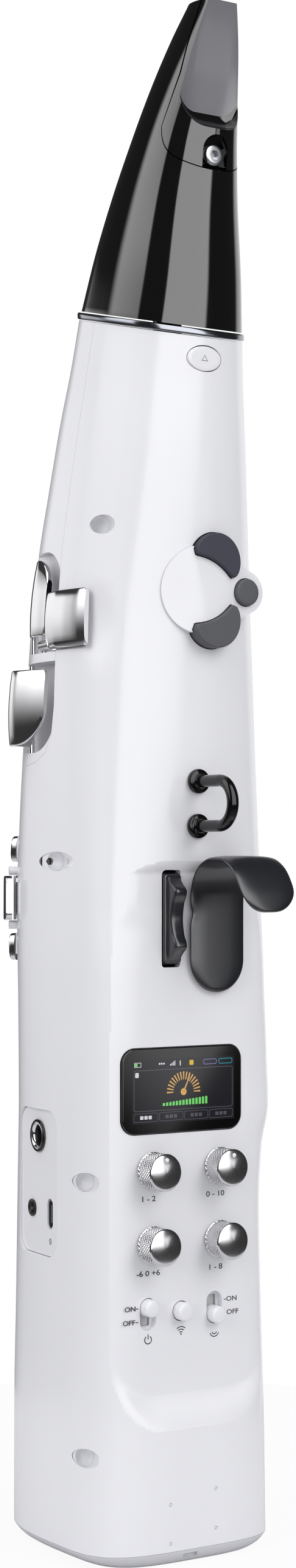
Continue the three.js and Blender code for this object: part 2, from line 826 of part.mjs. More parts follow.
// A round bar along a place's direction, between two heights over the surface.
function outwardBar(place, from, to, radius, sides, endRadius = radius) {
  const at = (height) => place.middle.clone().addScaledVector(place.out, height).toArray();
  return bar(at(from), at(to), radius, sides, endRadius);
}

// A slot with round ends.
const slotRoundShare = 0.999;

function slotShape(x, z, width, length) {
  return roundedShape(width, length, (width / 2) * slotRoundShare, x, z);
}

// A short oval bar at the neck, square to the leaning thumb face.
function neckButtonBar(grow, from, to) {
  const { x, halfWidth, halfHeight } = neckButton;
  const z = neckButtonZ;
  const step = 3 * wall;
  const tilt = Math.atan((faceY(x, z + step, -1) - faceY(x, z - step, -1)) / (2 * step));
  const geometry = new THREE.CylinderGeometry(1, 1, to - from, 20);
  geometry.scale(halfWidth + grow, 1, halfHeight + grow);
  geometry.translate(0, -(from + to) / 2, 0);
  geometry.rotateX(-tilt);
  return solid(geometry.translate(x, faceY(x, z, -1), z));
}

// The port panel's frame: a flat face across the flank's curve.
const portFlanks = [portFront, portBack].map((y) => flankX(y, portLow + portPanel.length, -1));
const portTurn = Math.atan((portFlanks[0] - portFlanks[1]) / portPanel.width);
const portX = (portFlanks[0] + portFlanks[1]) / 2 + portPanel.sink;

// Turns a solid made about the port panel's flat face at X = 0 onto the flank.
function ontoPort(made) {
  const geometry = geometryOf(made);
  geometry.rotateZ(-portTurn);
  return solid(geometry.translate(portX, portPanel.middle, 0));
}

// A bar square to the port panel, between two depths behind its face.
function portBar(piece, from, to, radius, sides) {
  const [y, z] = [portY(piece) - portPanel.middle, portZ(piece)];
  return bar([from, y, z], [to, y, z], radius, sides);
}

function portShape(grow) {
  const { width, length, radius } = portPanel;
  return roundedShape(width + 2 * grow, length + 2 * grow, radius + grow, 0, portLow + length / 2);
}

function usbShape(grow) {
  const [width, height] = [usb.width + 2 * grow, usb.height + 2 * grow];
  return roundedShape(width, height, (width / 2) * slotRoundShare, portY(usb) - portPanel.middle, portZ(usb));
}

function portHoles(grow, from, to) {
  return [
    portBar(jack, from, to, jack.sleeve + grow, 12),
    portBar(phones, from, to, phones.sleeve + grow, 10),
    portBar(chargeLight, from, to, chargeLight.radius + grow, 6),
    slabX(usbShape(usb.metal + grow), from, to, 2),
  ];
}

// The lowest and highest place of a lever key.
function leverSpan({ group, rise, length }) {
  const low = placeOf(group) + rise;
  return [low, low + length];
}

// Where each lever key stands: its middle, outward direction and the direction along its width.
function leverPlace(key) {
  const [low, high] = leverSpan(key);
  const station = stationAt((low + high) / 2, bodyStations);
  const angle = radians(key.around);
  const middle = outlinePoint(station, angle);
  const nudge = radians(1);
  const across = outlinePoint(station, angle + nudge).sub(outlinePoint(station, angle - nudge));
  across.z = 0;
  across.normalize();
  return { middle, across, out: new THREE.Vector3(across.y, -across.x, 0) };
}

// The housing's outer surface over a height range, moved out by a lift.
function liftedBody(low, high, lift) {
  const rise = (high - low) / 2;
  const heights = [low - rise, high + rise];
  return loft(heights.map((z) => ring(stationAt(z, bodyStations), -lift)));
}

// A lever's barrel line: its two ends at a height over the surface, on the hinge side.
function leverBarrel(key) {
  const place = leverPlace(key);
  const edge = (key.width / 2) * key.hinge;
  const ends = leverSpan(key).map((z) => {
    const point = place.middle.clone().addScaledVector(place.across, edge);
    const station = stationAt(z, bodyStations);
    const angle = Math.atan2(point.y - station.parting, point.x);
    const surface = outlinePoint(station, angle);
    return surface.addScaledVector(place.out, gap + lever.barrel).setZ(z);
  });
  const over = Math.max(ends[0].dot(place.out), ends[1].dot(place.out));
  for (const end of ends) end.addScaledVector(place.out, over - end.dot(place.out));
  return { ends, place };
}

function leverPosts(key) {
  const { ends, place } = leverBarrel(key);
  return ends.map((end, i) => {
    const foot = end.clone().setZ(end.z + (i === 0 ? -1 : 1) * (gap + lever.post));
    const root = foot.clone().addScaledVector(place.out, -2 * lever.barrel - wall / 2);
    const top = foot.clone().addScaledVector(place.out, lever.barrel);
    return bar(root.toArray(), top.toArray(), lever.post, 6);
  });
}

function leverKey(key) {
  const { ends, place } = leverBarrel(key);
  const turn = Math.atan2(place.out.y, place.out.x);
  const [low, high] = leverSpan(key);
  const outline = roundedShape(key.width, key.length, lever.corner, 0, (low + high) / 2);
  const geometry = geometryOf(slabX(outline, -3 * overrun, 4 * lever.lift, 1));
  geometry.rotateZ(turn).translate(place.middle.x, place.middle.y, 0);
  const outer = liftedBody(low, high, lever.lift + lever.thickness);
  const inner = liftedBody(low, high, lever.lift);
  const plate = solid(geometry).intersect(outer).subtract(inner);
  const neck = ends.map((end) => end.clone());
  const inset = lever.corner;
  neck[0].z += inset;
  neck[1].z -= inset;
  const inward = place.across.clone().multiplyScalar(-key.hinge * 2 * lever.barrel);
  const rise = place.out.clone().multiplyScalar(lever.barrel);
  const corners = [
    new THREE.Vector3(0, 0, 0),
    rise.clone(),
    rise.clone().add(inward).addScaledVector(place.out, lever.thickness / 2),
    inward.clone(),
  ];
  if (key.hinge < 0) corners.reverse();
  const web = loft(neck.map((end) => corners.map((corner) => end.clone().add(corner))));
  return plate.add(web).add(bar(ends[0].toArray(), ends[1].toArray(), lever.barrel, 8));
}

function rearShell() {
  let made = halfShell(false).subtract(panelCut());
  const outside = -body.thumbReach - wall - overrun;
  const inside = backingY + overrun;
  const seat = -panelFloor - display.proud + display.thickness + gap;
  const { width, height, radius } = display;
  for (const side of [-1, 1]) {
    const ear = rockerX + side * (rocker.width / 2 + gap + rocker.ear / 2);
    const [earBack, earFront] = [backingY - wall / 2, rockerPivot + rocker.axle + rocker.ear];
    made = made.add(
      block(
        [ear - rocker.ear / 2, earBack, rockerZ - rocker.ear * 2],
        [ear + rocker.ear / 2, earFront, rockerZ + rocker.ear * 2],
      ),
    );
  }
  for (const x of [-1, 1]) {
    for (const z of [boardLow + controlBoard.postLow, boardHigh - controlBoard.postHigh]) {
      const post = x * (controlBoard.halfWidth - 2 * boardPost.radius);
      made = made.add(bar([post, backingY - wall / 2, z], [post, boardY - gap, z], boardPost.radius, 8));
    }
  }
  const shelf = block(
    [-sensor.halfWidth, -body.thumbReach - 3 * wall, sensorLow - gap - sensor.shelf],
    [sensor.halfWidth, sensorFront, sensorLow - gap],
  );
  made = made.add(shelf.intersect(wallMiddle));
  const lining = portPanel.thickness + gap + palmBay.lining;
  made = made.add(ontoPort(slabX(portShape(palmBay.lining), -overrun, lining, 2)).intersect(wallMiddle));
  for (const side of [-1, 1]) {
    for (const spot of screwBoreShares) {
      made = made.add(screwBar(spot, side, -overrun, screwBore.sink + wall, wall, 6).intersect(wallMiddle));
    }
  }
  const glassSeat = roundedShape(width + 2 * gap, height + 2 * gap, radius + gap, displayX, displayZ);
  const [inWidth, inHeight] = [width * displayFrameShare, height * displayFrameShare];
  const glassWindow = roundedShape(inWidth, inHeight, gap / 2, displayX, displayZ);
  const rockerSlot = roundedShape(rocker.width + 2 * gap, 2 * (rockerSwing + gap), gap, rockerX, rockerZ);
  const roundWell = circleShape(thumbButton.radius + gap, thumbPlate.lugX, plateZ);
  const onAxle = (reach) => [rockerX + reach, rockerPivot, rockerZ];
  const cuts = [
    slabY(glassSeat, outside, seat, 4),
    slabY(glassWindow, outside, inside, 1),
    bar([pairX, inside, switchZ], [pairX, outside, switchZ], pairButton.radius + gap, 14),
    slabY(rockerSlot, outside, inside, 1),
    bar(onAxle(-rocker.width), onAxle(rocker.width), rocker.axle + gap, 10),
    slabY(octaveShape(1, gap), plateY - overrun, plateY + octaveButton.well),
    slabY(octaveShape(-1, gap), plateY - overrun, plateY + octaveButton.well),
    slabY(roundWell, plateY - overrun, plateY + thumbButton.well, 6),
    middlePalmRoom(),
    neckButtonBar(gap, -neckButton.depth - overrun, neckButton.proud + overrun),
  ];
  for (const x of knobX) {
    for (const z of knobZ) cuts.push(bar([x, inside, z], [x, outside, z], knob.shaftRadius + gap, 10));
  }
  for (const x of switchX) {
    const { width: slotWidth, length, stem, travel, sink } = slideSwitch;
    const stemSlot = roundedShape(stem + 2 * gap, stem + travel + 2 * gap, gap, x, switchZ);
    cuts.push(slabY(slotShape(x, switchZ, slotWidth, length), outside, sink - panelFloor, 4));
    cuts.push(slabY(stemSlot, outside, inside, 1));
  }
  for (const [xShare, zShare] of pinholeShares) {
    const hole = circleShape(pinhole.radius, xShare * body.halfWidth, zShare * body.height);
    cuts.push(slabY(hole, outside, inside, 2));
  }
  for (const side of [-1, 1]) {
    for (const spot of screwBoreShares) cuts.push(screwBar(spot, side, -screwBore.lead, screwBore.sink, 0));
  }
  cuts.push(ontoPort(slabX(portShape(gap), -4 * overrun, portPanel.thickness + gap, 2)));
  for (const hole of portHoles(gap, -overrun, jack.length)) cuts.push(ontoPort(hole));
  for (const end of [-1, 1]) {
    const z = ringZ + (end * strapRing.legGap) / 2;
    cuts.push(bar([0, outside, z], [0, -panelFloor + 2 * wall, z], strapRing.wire + gap, 10));
  }
  for (const cut of cuts) made = made.subtract(cut);
  return made;
}

function frontShell() {
  let made = halfShell(true);
  const frontHalf = withinFront(gap / 2);
  for (const bay of Object.values(palmBays)) {
    made = made.add(bayPrism(bay, palmBay.lining, body.halfWidth + overrun).intersect(frontHalf));
  }
  for (const x of [-1, 1]) {
    for (const z of [keyBoardLow + keyBoard.postInset, keyBoardHigh - keyBoard.postInset]) {
      const post = x * (keyBoard.halfWidth - keyBoard.postInset / 2);
      const [from, to] = [keyBoardY + keyBoard.thickness + gap, faceY(post, z, 1) - wall / 2];
      made = made.add(bar([post, from, z], [post, to, z], boardPost.radius, 8));
    }
  }
  for (const key of Object.values(leverKeys)) {
    for (const post of leverPosts(key)) made = made.add(post);
  }
  const cuts = Object.values(palmBays).map((bay) => bayPrism(bay, 0, 2 * body.halfWidth));
  for (const key of Object.values(roundKeys)) {
    const from = -roundKey.depth - keyTravel - overrun;
    cuts.push(outwardBar(keyPlace(key), from, roundKey.proud + overrun, key.radius + gap, 12));
  }
  for (const cut of cuts) made = made.subtract(cut);
  return made;
}

// Rings of the foot, drawn in from the housing's bottom outline.
function footRing(z, insetShare) {
  const station = { ...bodyStations[0], z };
  station.left -= cap.insetX * insetShare;
  station.right -= cap.insetX * insetShare;
  station.thumb += cap.insetY * insetShare;
  station.front -= cap.insetY * insetShare;
  return ring(station);
}

function bottomCap() {
  const made = loft(capShares.map(([rise, share]) => footRing(rise * cap.height, share)));
  const rimAt = (z, inset) => innerRing(bodyStations[0], inset, z);
  const [low, high] = [cap.height - gap, cap.height + cap.rim];
  const rimOuter = loft([rimAt(low, wall + gap), rimAt(high, wall + gap)]);
  const deep = wall + gap + cap.rimWall;
  const rimInner = loft([rimAt(cap.height, deep), rimAt(high + overrun, deep)]);
  const slot = block(
    [cap.slotX - cap.slotWidth / 2, -body.thumbReach - overrun, cap.slotLow],
    [cap.slotX + cap.slotWidth / 2, -body.thumbReach + cap.slotDepth, cap.slotLow + cap.slotHeight],
  );
  return made.add(rimOuter).subtract(rimInner).subtract(slot);
}

// The ring between neck and mouthpiece, a leaning plate with a hole for the spigot.
function neckPlate() {
  const top = bodyStations.at(-1);
  const [low, high] = [body.height + gap, body.height + gap + neckRing.height];
  const made = loft([low, high].map((z) => ring({ ...top, z }, -neckRing.proud)));
  const at = (z) => [0, -mouthpiece.spigotY, z];
  return made.subtract(bar(at(low - 8 * wall), at(high + 8 * wall), mouthpiece.spigot + gap, 16));
}

// The slit plane of the reed and the outline of everything on its side of the split.
const reedPlaneY = (z) => (mouthpieceTip - z) * reedSlopeShares.face - reedReach("face");

function reedRegion(grow) {
  const top = mouthpieceTip + 2 * overrun;
  const out = -reedReach("heel") - overrun;
  const [low, heel] = [reedRise("seamLow"), reedRise("heel") - grow * gap * Math.SQRT2];
  const back = grow * gap - reedReach("seamLow");
  const middle = grow * (gap + reed.tipGap) * reedSlopeShares.slit - reedReach("seamMiddle");
  return flat([
    [out, top],
    [grow * reed.tipGap - reedReach("seamTip"), top],
    [middle, reedRise("seamMiddle")],
    [back, low],
    [back, low - grow * gap - reed.heelDrop / 2],
    [-reedReach("seamLow") - reed.heelDrop / 2, heel],
    [out, heel - (reedReach("heel") - reedReach("seamLow")) * reedSlopeShares.heel],
  ]);
}

// What the flat reed face takes off the front of the beak, with a curved run-out at its foot.
function reedFaceCut() {
  const low = reedRise("faceBottom");
  const out = -reedReach("heel") - 4 * overrun;
  const top = mouthpieceTip + 2 * overrun;
  const points = [
    [out, top],
    [reedPlaneY(top), top],
    [reedPlaneY(low), low],
  ];
  const steps = 4;
  for (let i = 1; i <= steps; i++) {
    const turn = (i / steps) * (Math.PI / 2);
    points.push([
      reedPlaneY(low) - reed.runout * (1 - Math.cos(turn)),
      low - reed.runout * reedSlopeShares.runout * Math.sin(turn),
    ]);
  }
  points.push([out, low - reed.runout * reedSlopeShares.runout]);
  return slabX(flat(points), -mouthpiece.halfWidth, mouthpiece.halfWidth);
}

function mouthpieceBlank() {
  return loft(mouthpieceStations.map((s) => ring(s, 0, 28))).subtract(reedFaceCut());
}

const bayFloor = -screwBay.floorShare * mouthpiece.thumbReach;
const onScrew = (y) => [0, y, reedRise("screw")];

function reedScrewHole(grow) {
  const end = bayFloor + reedScrew.length + grow;
  return bar(onScrew(bayFloor - overrun), onScrew(end), reedScrew.shankRadius + grow, 10);
}

function mouthpieceBody() {
  const y = -mouthpiece.spigotY;
  const low = body.height - mouthpiece.spigotLength;
  const bend = mouthpieceBase + 2 * mouthpiece.spigot;
  const made = mouthpieceBlank()
    .subtract(slabX(reedRegion(1), -mouthpiece.halfWidth, mouthpiece.halfWidth))
    .add(bar([0, y, low], [0, y, bend], mouthpiece.spigot, 16));
  const tip = [0, -reedReach("bore"), mouthpieceTip + overrun];
  return made
    .subtract(bar([0, y, low - overrun], [0, y, bend], mouthpiece.airBore, 10))
    .subtract(bar([0, y, bend - mouthpiece.airBore], tip, mouthpiece.airBore, 10, mouthpiece.airBore / 2))
    .subtract(reedScrewHole(gap));
}

function reedLever() {
  const made = mouthpieceBlank().intersect(slabX(reedRegion(0), -mouthpiece.halfWidth, mouthpiece.halfWidth));
  const { halfWidth, top } = screwBay;
  const low = reedRise("heel") - (reedReach("heel") - reedReach("seamLow"));
  const bay = new THREE.Shape();
  bay.moveTo(-halfWidth, low);
  bay.lineTo(halfWidth, low);
  bay.absarc(0, reedRise("screw") + top, halfWidth, 0, Math.PI);
  return made.subtract(slabY(bay, -reedReach("heel") - overrun, bayFloor, 5)).subtract(reedScrewHole(gap));
}

function reedScrewMade() {
  const { headRadius, headHeight, shankRadius, length, socket } = reedScrew;
  const seat = bayFloor - gap;
  return bar(onScrew(seat - headHeight), onScrew(seat), headRadius, 16)
    .add(bar(onScrew(seat - gap), onScrew(bayFloor + length), shankRadius, 10))
    .subtract(bar(onScrew(seat - 2 * headHeight), onScrew(seat - gap * 2), socket / 2, 6));
}

// A round bar bent along points in the plane X = 0.
function bentBar(path, radius, sides = 8) {
  const rings = path.map(([y, z], i) => {
    const [py, pz] = path[Math.max(i - 1, 0)];
    const [ny, nz] = path[Math.min(i + 1, path.length - 1)];
    const side = new THREE.Vector3(0, -(nz - pz), ny - py).normalize();
    return Array.from({ length: sides }, (_, k) => {
      const turn = (k / sides) * 2 * Math.PI;
      const point = new THREE.Vector3(radius * Math.cos(turn), y, z);
      return point.addScaledVector(side, radius * Math.sin(turn));
    });
  });
  return loft(rings);
}

function strapRingMade() {
  const { wire, legGap, reach, bend, collarRadius, collarHeight } = strapRing;
  const z = ringZ;
  const face = faceY(0, z, -1);
  const arcMiddle = face - reach + legGap / 2;
  const path = [[face + bend, z - legGap / 2]];
  const steps = 8;
  for (let i = 0; i <= steps; i++) {
    const turn = (i / steps) * Math.PI;
    path.push([arcMiddle - (legGap / 2) * Math.sin(turn), z - (legGap / 2) * Math.cos(turn)]);
  }
  path.push([face + bend, z + legGap / 2]);
  let made = bentBar(path, wire);
  for (const end of [-1, 1]) {
    const at = z + (end * legGap) / 2;
    const seat = Math.min(faceY(0, at - collarRadius, -1), faceY(0, at + collarRadius, -1)) - gap;
    made = made.add(bar([0, seat - collarHeight, at], [0, seat, at], collarRadius, 12));
  }
  return made;
}

function thumbHook() {
  const { halfWidth, thickness, rise, reach, lipCorner } = hook;
  const [low, high] = [hookX - halfWidth, hookX + halfWidth];
  const back = -panelFloor - gap;
  const plateShape = new THREE.Shape();
  plateShape.moveTo(high, hookBottom + hook.plate);
  plateShape.lineTo(low, hookBottom + hook.plate);
  plateShape.absarc(hookX, hookBottom + halfWidth, halfWidth, Math.PI, 2 * Math.PI);
  const plate = slabY(plateShape, back - thickness, back, 8);
  const profile = hookOuterShares.concat(hookInnerShares.slice().reverse());
  const outline = flat(profile.map(([out, up]) => [back - out * reach, hookBottom + up * rise]));
  const arch = slabX(outline, low, high);
  const lipLow = hookBottom + hookOuterShares.at(-1)[1] * rise;
  const lip = roundedShape(2 * halfWidth, rise, lipCorner, hookX, lipLow + rise / 2);
  return arch.intersect(slabY(lip, back - 2 * reach, back + overrun, 4)).add(plate);
}

// The rocker turns about an axle behind the panel floor; every point stays inside the turning circle.
const rockerPivot = backingY + rocker.axleDepth;
const rockerSwing = rocker.length / 2 + rocker.axle;

function pitchRocker() {
  const floor = -panelFloor;
  const half = rocker.length / 2;
  const top = rockerShares.map(([along, rise]) => [floor - rise * rocker.bump, rockerZ + along * half]);
  const low = rockerPivot + rocker.keel;
  const shape = flat([
    ...top,
    [rockerPivot, rockerZ + rockerSwing * rockerEndShare],
    [low, rockerZ + half / 4],
    [low, rockerZ - half / 4],
    [rockerPivot, rockerZ - rockerSwing * rockerEndShare],
  ]);
  const made = slabX(shape, rockerX - rocker.width / 2, rockerX + rocker.width / 2);
  const reach = rocker.width / 2 + rocker.ear;
  const onAxle = (side) => [rockerX + side * reach, rockerPivot, rockerZ];
  return made.add(bar(onAxle(-1), onAxle(1), rocker.axle, 10));
}

// The thumb plate stands proud of the leaning thumb face behind it.
const plateY = faceY(0, plateZ, -1) - thumbPlate.proud;

function thumbPlateMade() {
  const { radius, depth, lugX } = thumbPlate;
  const inner = liftedBody(plateZ - 2 * radius, plateZ + 2 * radius, gap);
  const through = [plateY - overrun, plateY + depth + overrun];
  const roundHole = circleShape(thumbButton.radius + gap, lugX, plateZ);
  return slabY(thumbPlateShape(), plateY, plateY + depth, 10)
    .subtract(inner)
    .subtract(slabY(octaveShape(1, gap), ...through))
    .subtract(slabY(octaveShape(-1, gap), ...through))
    .subtract(slabY(roundHole, ...through, 6));
}

function knobMade(x, z) {
  const base = -panelFloor - knob.lift;
  const top = -panelFloor - knob.height;
  const rows = [
    [base, knob.radius, true],
    [top + knob.crown, knob.radius, true],
    [top, knob.radius - knob.crown, false],
  ];
  const count = 2 * knobFlutes;
  const rings = rows.map(([y, radius, fluted]) =>
    Array.from({ length: count }, (_, i) => {
      const turn = (i / count) * 2 * Math.PI;
      const r = radius - (fluted && i % 2 === 1 ? knob.fluteDepth : 0);
      return new THREE.Vector3(x + r * Math.cos(turn), y, z + r * Math.sin(turn));
    }),
  );
  const shaftEnd = backingY + gap - knob.shaftStop;
  const { dish: dishDepth, dishRadius } = knob;
  const at = (y) => [x, y, z];
  const dish = bar(at(top - overrun), at(top + dishDepth), dishRadius + dishDepth, 16, dishRadius / 2);
  return loft(rings)
    .subtract(dish)
    .add(bar(at(shaftEnd), at(base - gap), knob.shaftRadius, 10));
}

// The cap of a slide switch at one end of its slot.
function switchCap(x, end) {
  const z = switchZ + (end * slideSwitch.travel) / 2;
  const seat = -panelFloor + slideSwitch.sink - gap;
  const at = (y) => [x, y, z];
  const top = -panelFloor - slideSwitch.capHeight;
  const crown = slideSwitch.crown;
  const half = slideSwitch.stem / 2;
  return bar(at(top + crown), at(seat), slideSwitch.capRadius, 16)
    .add(bar(at(top), at(top + crown), slideSwitch.capRadius - crown, 16, slideSwitch.capRadius))
    .add(block([x - half, seat - gap, z - half], [x + half, backingY, z + half]));
}

// The pairing button with the flange that holds it behind the panel.
function pairingButton() {
  const at = (y) => [pairX, y, switchZ];
  const flange = backingY + gap;
  return bar(at(flange + pairButton.flange), at(-panelFloor - pairButton.height), pairButton.radius, 14).add(
    bar(at(flange + pairButton.flange), at(flange), pairButton.flangeRadius, 14),
  );
}

// The circuit board with the bodies of the knobs' and switches' parts.
function controlBoardMade() {
  const { thickness, halfWidth, pot } = controlBoard;
  const front = backingY + gap;
  const pairFront = front + pairButton.flange + buttonTravel + gap;
  const bodies = [[pairX, switchZ, pairButton.radius, pairButton.radius, pairFront]];
  for (const x of knobX) for (const z of knobZ) bodies.push([x, z, pot, pot, front]);
  for (const x of switchX) bodies.push([x, switchZ, slideSwitch.width / 2, slideSwitch.length / 2, front]);
  let made = block([-halfWidth, boardY, boardLow], [halfWidth, boardY + thickness, boardHigh]);
  for (const [x, z, w, h, y0] of bodies) {
    made = made.add(block([x - w, y0, z - h], [x + w, boardY + thickness / 2, z + h]));
  }
  return made;
}

function displayGlass() {
  const { width, height, radius, thickness, proud } = display;
  const front = -panelFloor - proud;
  return slabY(roundedShape(width, height, radius, displayX, displayZ), front, front + thickness, 5);
}

function displayModule() {
  const { width, height, thickness, proud } = display;
  const front = -panelFloor - proud + thickness + gap;
  const [w, h] = [(width * displayFrameShare) / 2 - gap, (height * displayFrameShare) / 2 - gap];
  return block([displayX - w, front, displayZ - h], [displayX + w, boardY - gap, displayZ + h]);
}

function crescentButton(side) {
  return slabY(octaveShape(side, 0), plateY - octaveButton.proud, plateY + octaveButton.skirt);
}

function thumbRoundButton() {
  const at = (y) => [thumbPlate.lugX, plateY + y, plateZ];
  const { radius, proud, skirt } = thumbButton;
  return bar(at(-proud), at(skirt), radius, 20);
}

// Port pieces, made about the panel's flat face and turned onto the flank.
function portPanelMade() {
  let made = slabX(portShape(0), 0, portPanel.thickness, 2);
  for (const hole of portHoles(gap, -overrun, 2 * overrun)) made = made.subtract(hole);
  return ontoPort(made);
}

function socket(spec, sides) {
  const front = -gap - spec.nutProud;
  return ontoPort(
    portBar(spec, front, -gap, spec.nutRadius, sides)
      .add(portBar(spec, front, spec.length, spec.sleeve, sides))
      .subtract(portBar(spec, front - overrun, spec.boreDepth, spec.bore, sides)),
  );
}

function usbSocket() {
  const cavity = slabX(usbShape(0), -overrun, usb.depth - 2 * usb.metal, 2);
  const [y, z] = [portY(usb) - portPanel.middle, portZ(usb)];
  const [w, h] = [usb.tongue / 2, usb.height / 3];
  const tongue = block([2 * usb.metal, y - w, z - h], [usb.depth - usb.metal, y + w, z + h]);
  return ontoPort(slabX(usbShape(usb.metal), usb.metal, usb.depth, 2).subtract(cavity).add(tongue));
}

function chargeLightMade() {
  return ontoPort(portBar(chargeLight, -gap / 2, chargeLight.length, chargeLight.radius, 6));
}

// Palm keys.

// A strip along plan points with its thickness to the inside, leaning in by a distance over its height.
function leaningStrip(plan, thickness, low, high, lean) {
  const outer = plan.map(([x, y]) => new THREE.Vector2(x, y));
  const inner = outer.map((point, i) => {
    const before = outer[Math.max(i - 1, 0)];
    const after = outer[Math.min(i + 1, outer.length - 1)];
    const along = after.clone().sub(before).normalize();
    return new THREE.Vector2(point.x + along.y * thickness, point.y - along.x * thickness);
  });
  const shape = new THREE.Shape([...inner, ...outer.reverse()]);
  const geometry = new THREE.ExtrudeGeometry(shape, { depth: high - low, bevelEnabled: false });
  const shear = new THREE.Matrix4().set(1, 0, lean / (high - low), 0, 0, 1, 0, 0, 0, 0, 1, 0, 0, 0, 0, 1);
  return solid(geometry.applyMatrix4(shear).translate(0, 0, low));
}

// A palm key's sizes at their places.
function palmPlace(key) {
  const bay = palmBays[key.bay];
  const bayLow = placeOf("palmKeys") + bay.rise;
  const low = bayLow + key.rise;
  const inPlan = ([across, along]) => [across * body.halfWidth, along * body.frontReach];
  return {
    low,
    high: low + key.height,
    plan: key.planShares.map(inPlan),
    barrel: inPlan(key.barrelShares),
    bayLow,
    bayHigh: bayLow + bay.height,
    cornerUp: bay.top ? 1 : -1,
  };
}

// What is cut off a paddle's free corner: all outside an arc at its top (up 1) or its foot (up -1).
function palmCorner({ corner }, { low, high, plan, cornerUp: up }) {
  const y = plan[0][1] - gap;
  const z = up > 0 ? high : low;
  const outside = new THREE.Shape();
  outside.moveTo(y - overrun, z + up * overrun);
  outside.lineTo(y - overrun, z - up * corner);
  outside.lineTo(y, z - up * corner);
  outside.absarc(y + corner, z - up * corner, corner, Math.PI, Math.PI - up * (Math.PI / 2), up > 0);
  outside.lineTo(y + corner, z + up * overrun);
  return slabX(outside, -2 * body.halfWidth, -body.halfWidth / 2, 6);
}

function palmKey(key) {
  const place = palmPlace(key);
  const { low, high, plan, barrel } = place;
  const made = leaningStrip(plan, paddle.thickness, low, high, key.lean);
  const onBarrel = (z) => [...barrel, z];
  if (key.corner) {
    const pin = bar(onBarrel(place.bayLow + gap), onBarrel(place.bayHigh - gap), paddle.barrel, 12);
    return made.subtract(palmCorner(key, place)).add(pin);
  }
  const half = key.arm / 2;
  const [ex, ey] = plan.at(-1);
  const arm = bar([ex + half, ey - half, low + half], onBarrel(low + half), half, 8);
  return made.add(arm).add(bar(onBarrel(place.bayLow + gap), onBarrel(low + key.arm), paddle.barrel, 12));
}

// The shallow pocket that lets the middle palm key swing in.
function middlePalmRoom() {
  const key = palmKeys.palm_key_middle;
  const { low, high, plan } = palmPlace(key);
  return leaningStrip(plan, paddle.thickness + paddle.swingRoom, low - gap, high + gap, key.lean);
}

function roundKeyMade(key) {
  const place = keyPlace(key);
  const { proud, depth, dish, rimShare } = roundKey;
  return outwardBar(place, -depth, proud, key.radius, 12).subtract(
    outwardBar(place, proud - dish, proud + overrun, key.radius * rimShare * rimShare, 12, key.radius),
  );
}

// Inside pieces.
function airTubeMade() {
  const at = (z) => [0, -mouthpiece.spigotY, z];
  const [low, high] = [sensorHigh + gap, body.height - mouthpiece.spigotLength - gap];
  const bore = bar(at(low - overrun), at(high + overrun), airTube.bore, 14);
  return bar(at(low), at(high), airTube.radius, 14).subtract(bore);
}

function breathSensor() {
  const at = (z) => [0, -mouthpiece.spigotY, z];
  const port = bar(at((sensorLow + sensorHigh) / 2), at(sensorHigh + overrun), sensor.port, 10);
  const { halfWidth } = sensor;
  return block([-halfWidth, sensorBack, sensorLow], [halfWidth, sensorFront, sensorHigh]).subtract(port);
}

function batteryPack() {
  const { halfWidth, back, front, height } = battery;
  return block([-halfWidth, -back, foot], [halfWidth, front, foot + height]);
}

function keyBoardMade() {
  const { thickness, halfWidth } = keyBoard;
  return block([-halfWidth, keyBoardY, keyBoardLow], [halfWidth, keyBoardY + thickness, keyBoardHigh]);
}

// Every piece as a named mesh.
const parts = new THREE.Group();

function add(name, made, finish, roughness = 0.4, metalness = 0) {
  const material = new THREE.MeshStandardMaterial({ color: finish, roughness, metalness });
  const mesh = new THREE.Mesh(geometryOf(made), material);
  mesh.name = name;
  parts.add(mesh);
}

const addMetal = (name, made, finish = color.chrome) => add(name, made, finish, 0.2, 1);

add("rear_shell", rearShell(), color.white, 0.3);
add("front_shell", frontShell(), color.white, 0.3);
add("bottom_cap", bottomCap(), color.capWhite, 0.45);
addMetal("neck_ring", neckPlate());
add("mouthpiece_body", mouthpieceBody(), color.black, 0.15);
add("reed_lever", reedLever(), color.black, 0.2);
addMetal("reed_screw", reedScrewMade(), color.steel);
add("display_glass", displayGlass(), color.glass, 0.05);
add("display_module", displayModule(), color.satin);
add("control_board", controlBoardMade(), color.board, 0.6);
addMetal("knob_upper_left", knobMade(knobX[0], knobZ[0]));
addMetal("knob_upper_right", knobMade(knobX[1], knobZ[0]));
addMetal("knob_lower_left", knobMade(knobX[0], knobZ[1]));
addMetal("knob_lower_right", knobMade(knobX[1], knobZ[1]));
add("power_switch", switchCap(switchX[0], 1), color.white);
add("bite_switch", switchCap(switchX[1], -1), color.white);
add("pairing_button", pairingButton(), color.white);
add("thumb_hook", thumbHook(), color.satin, 0.35);
add("pitch_rocker", pitchRocker(), color.satin, 0.35);
add("strap_ring", strapRingMade(), color.black, 0.15);
add("thumb_plate", thumbPlateMade(), color.white, 0.35);
add("octave_up_button", crescentButton(1), color.satin);
add("octave_down_button", crescentButton(-1), color.satin);
add("thumb_round_button", thumbRoundButton(), color.satin);
add("neck_button", neckButtonBar(0, -neckButton.depth, neckButton.proud), color.capWhite);
add("port_panel", portPanelMade(), color.white, 0.35);
addMetal("output_jack", socket(jack, 12));
add("headphone_jack", socket(phones, 10), color.black);
addMetal("usb_socket", usbSocket(), color.steel);
add("charge_light", chargeLightMade(), color.cream, 0.3);
for (const [name, key] of Object.entries(palmKeys)) addMetal(name, palmKey(key));
for (const [name, key] of Object.entries(roundKeys)) addMetal(name, roundKeyMade(key));
for (const [name, key] of Object.entries(leverKeys)) addMetal(name, leverKey(key));
add("key_board", keyBoardMade(), color.board, 0.6);
add("battery_pack", batteryPack(), color.cell, 0.5);
add("breath_sensor", breathSensor(), color.steel, 0.5);
add("air_tube", airTubeMade(), color.cream, 0.6);

export default parts;
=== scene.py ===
"""The looks of the digital wind controller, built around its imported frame. Sizes are in millimetres."""

import json
import math

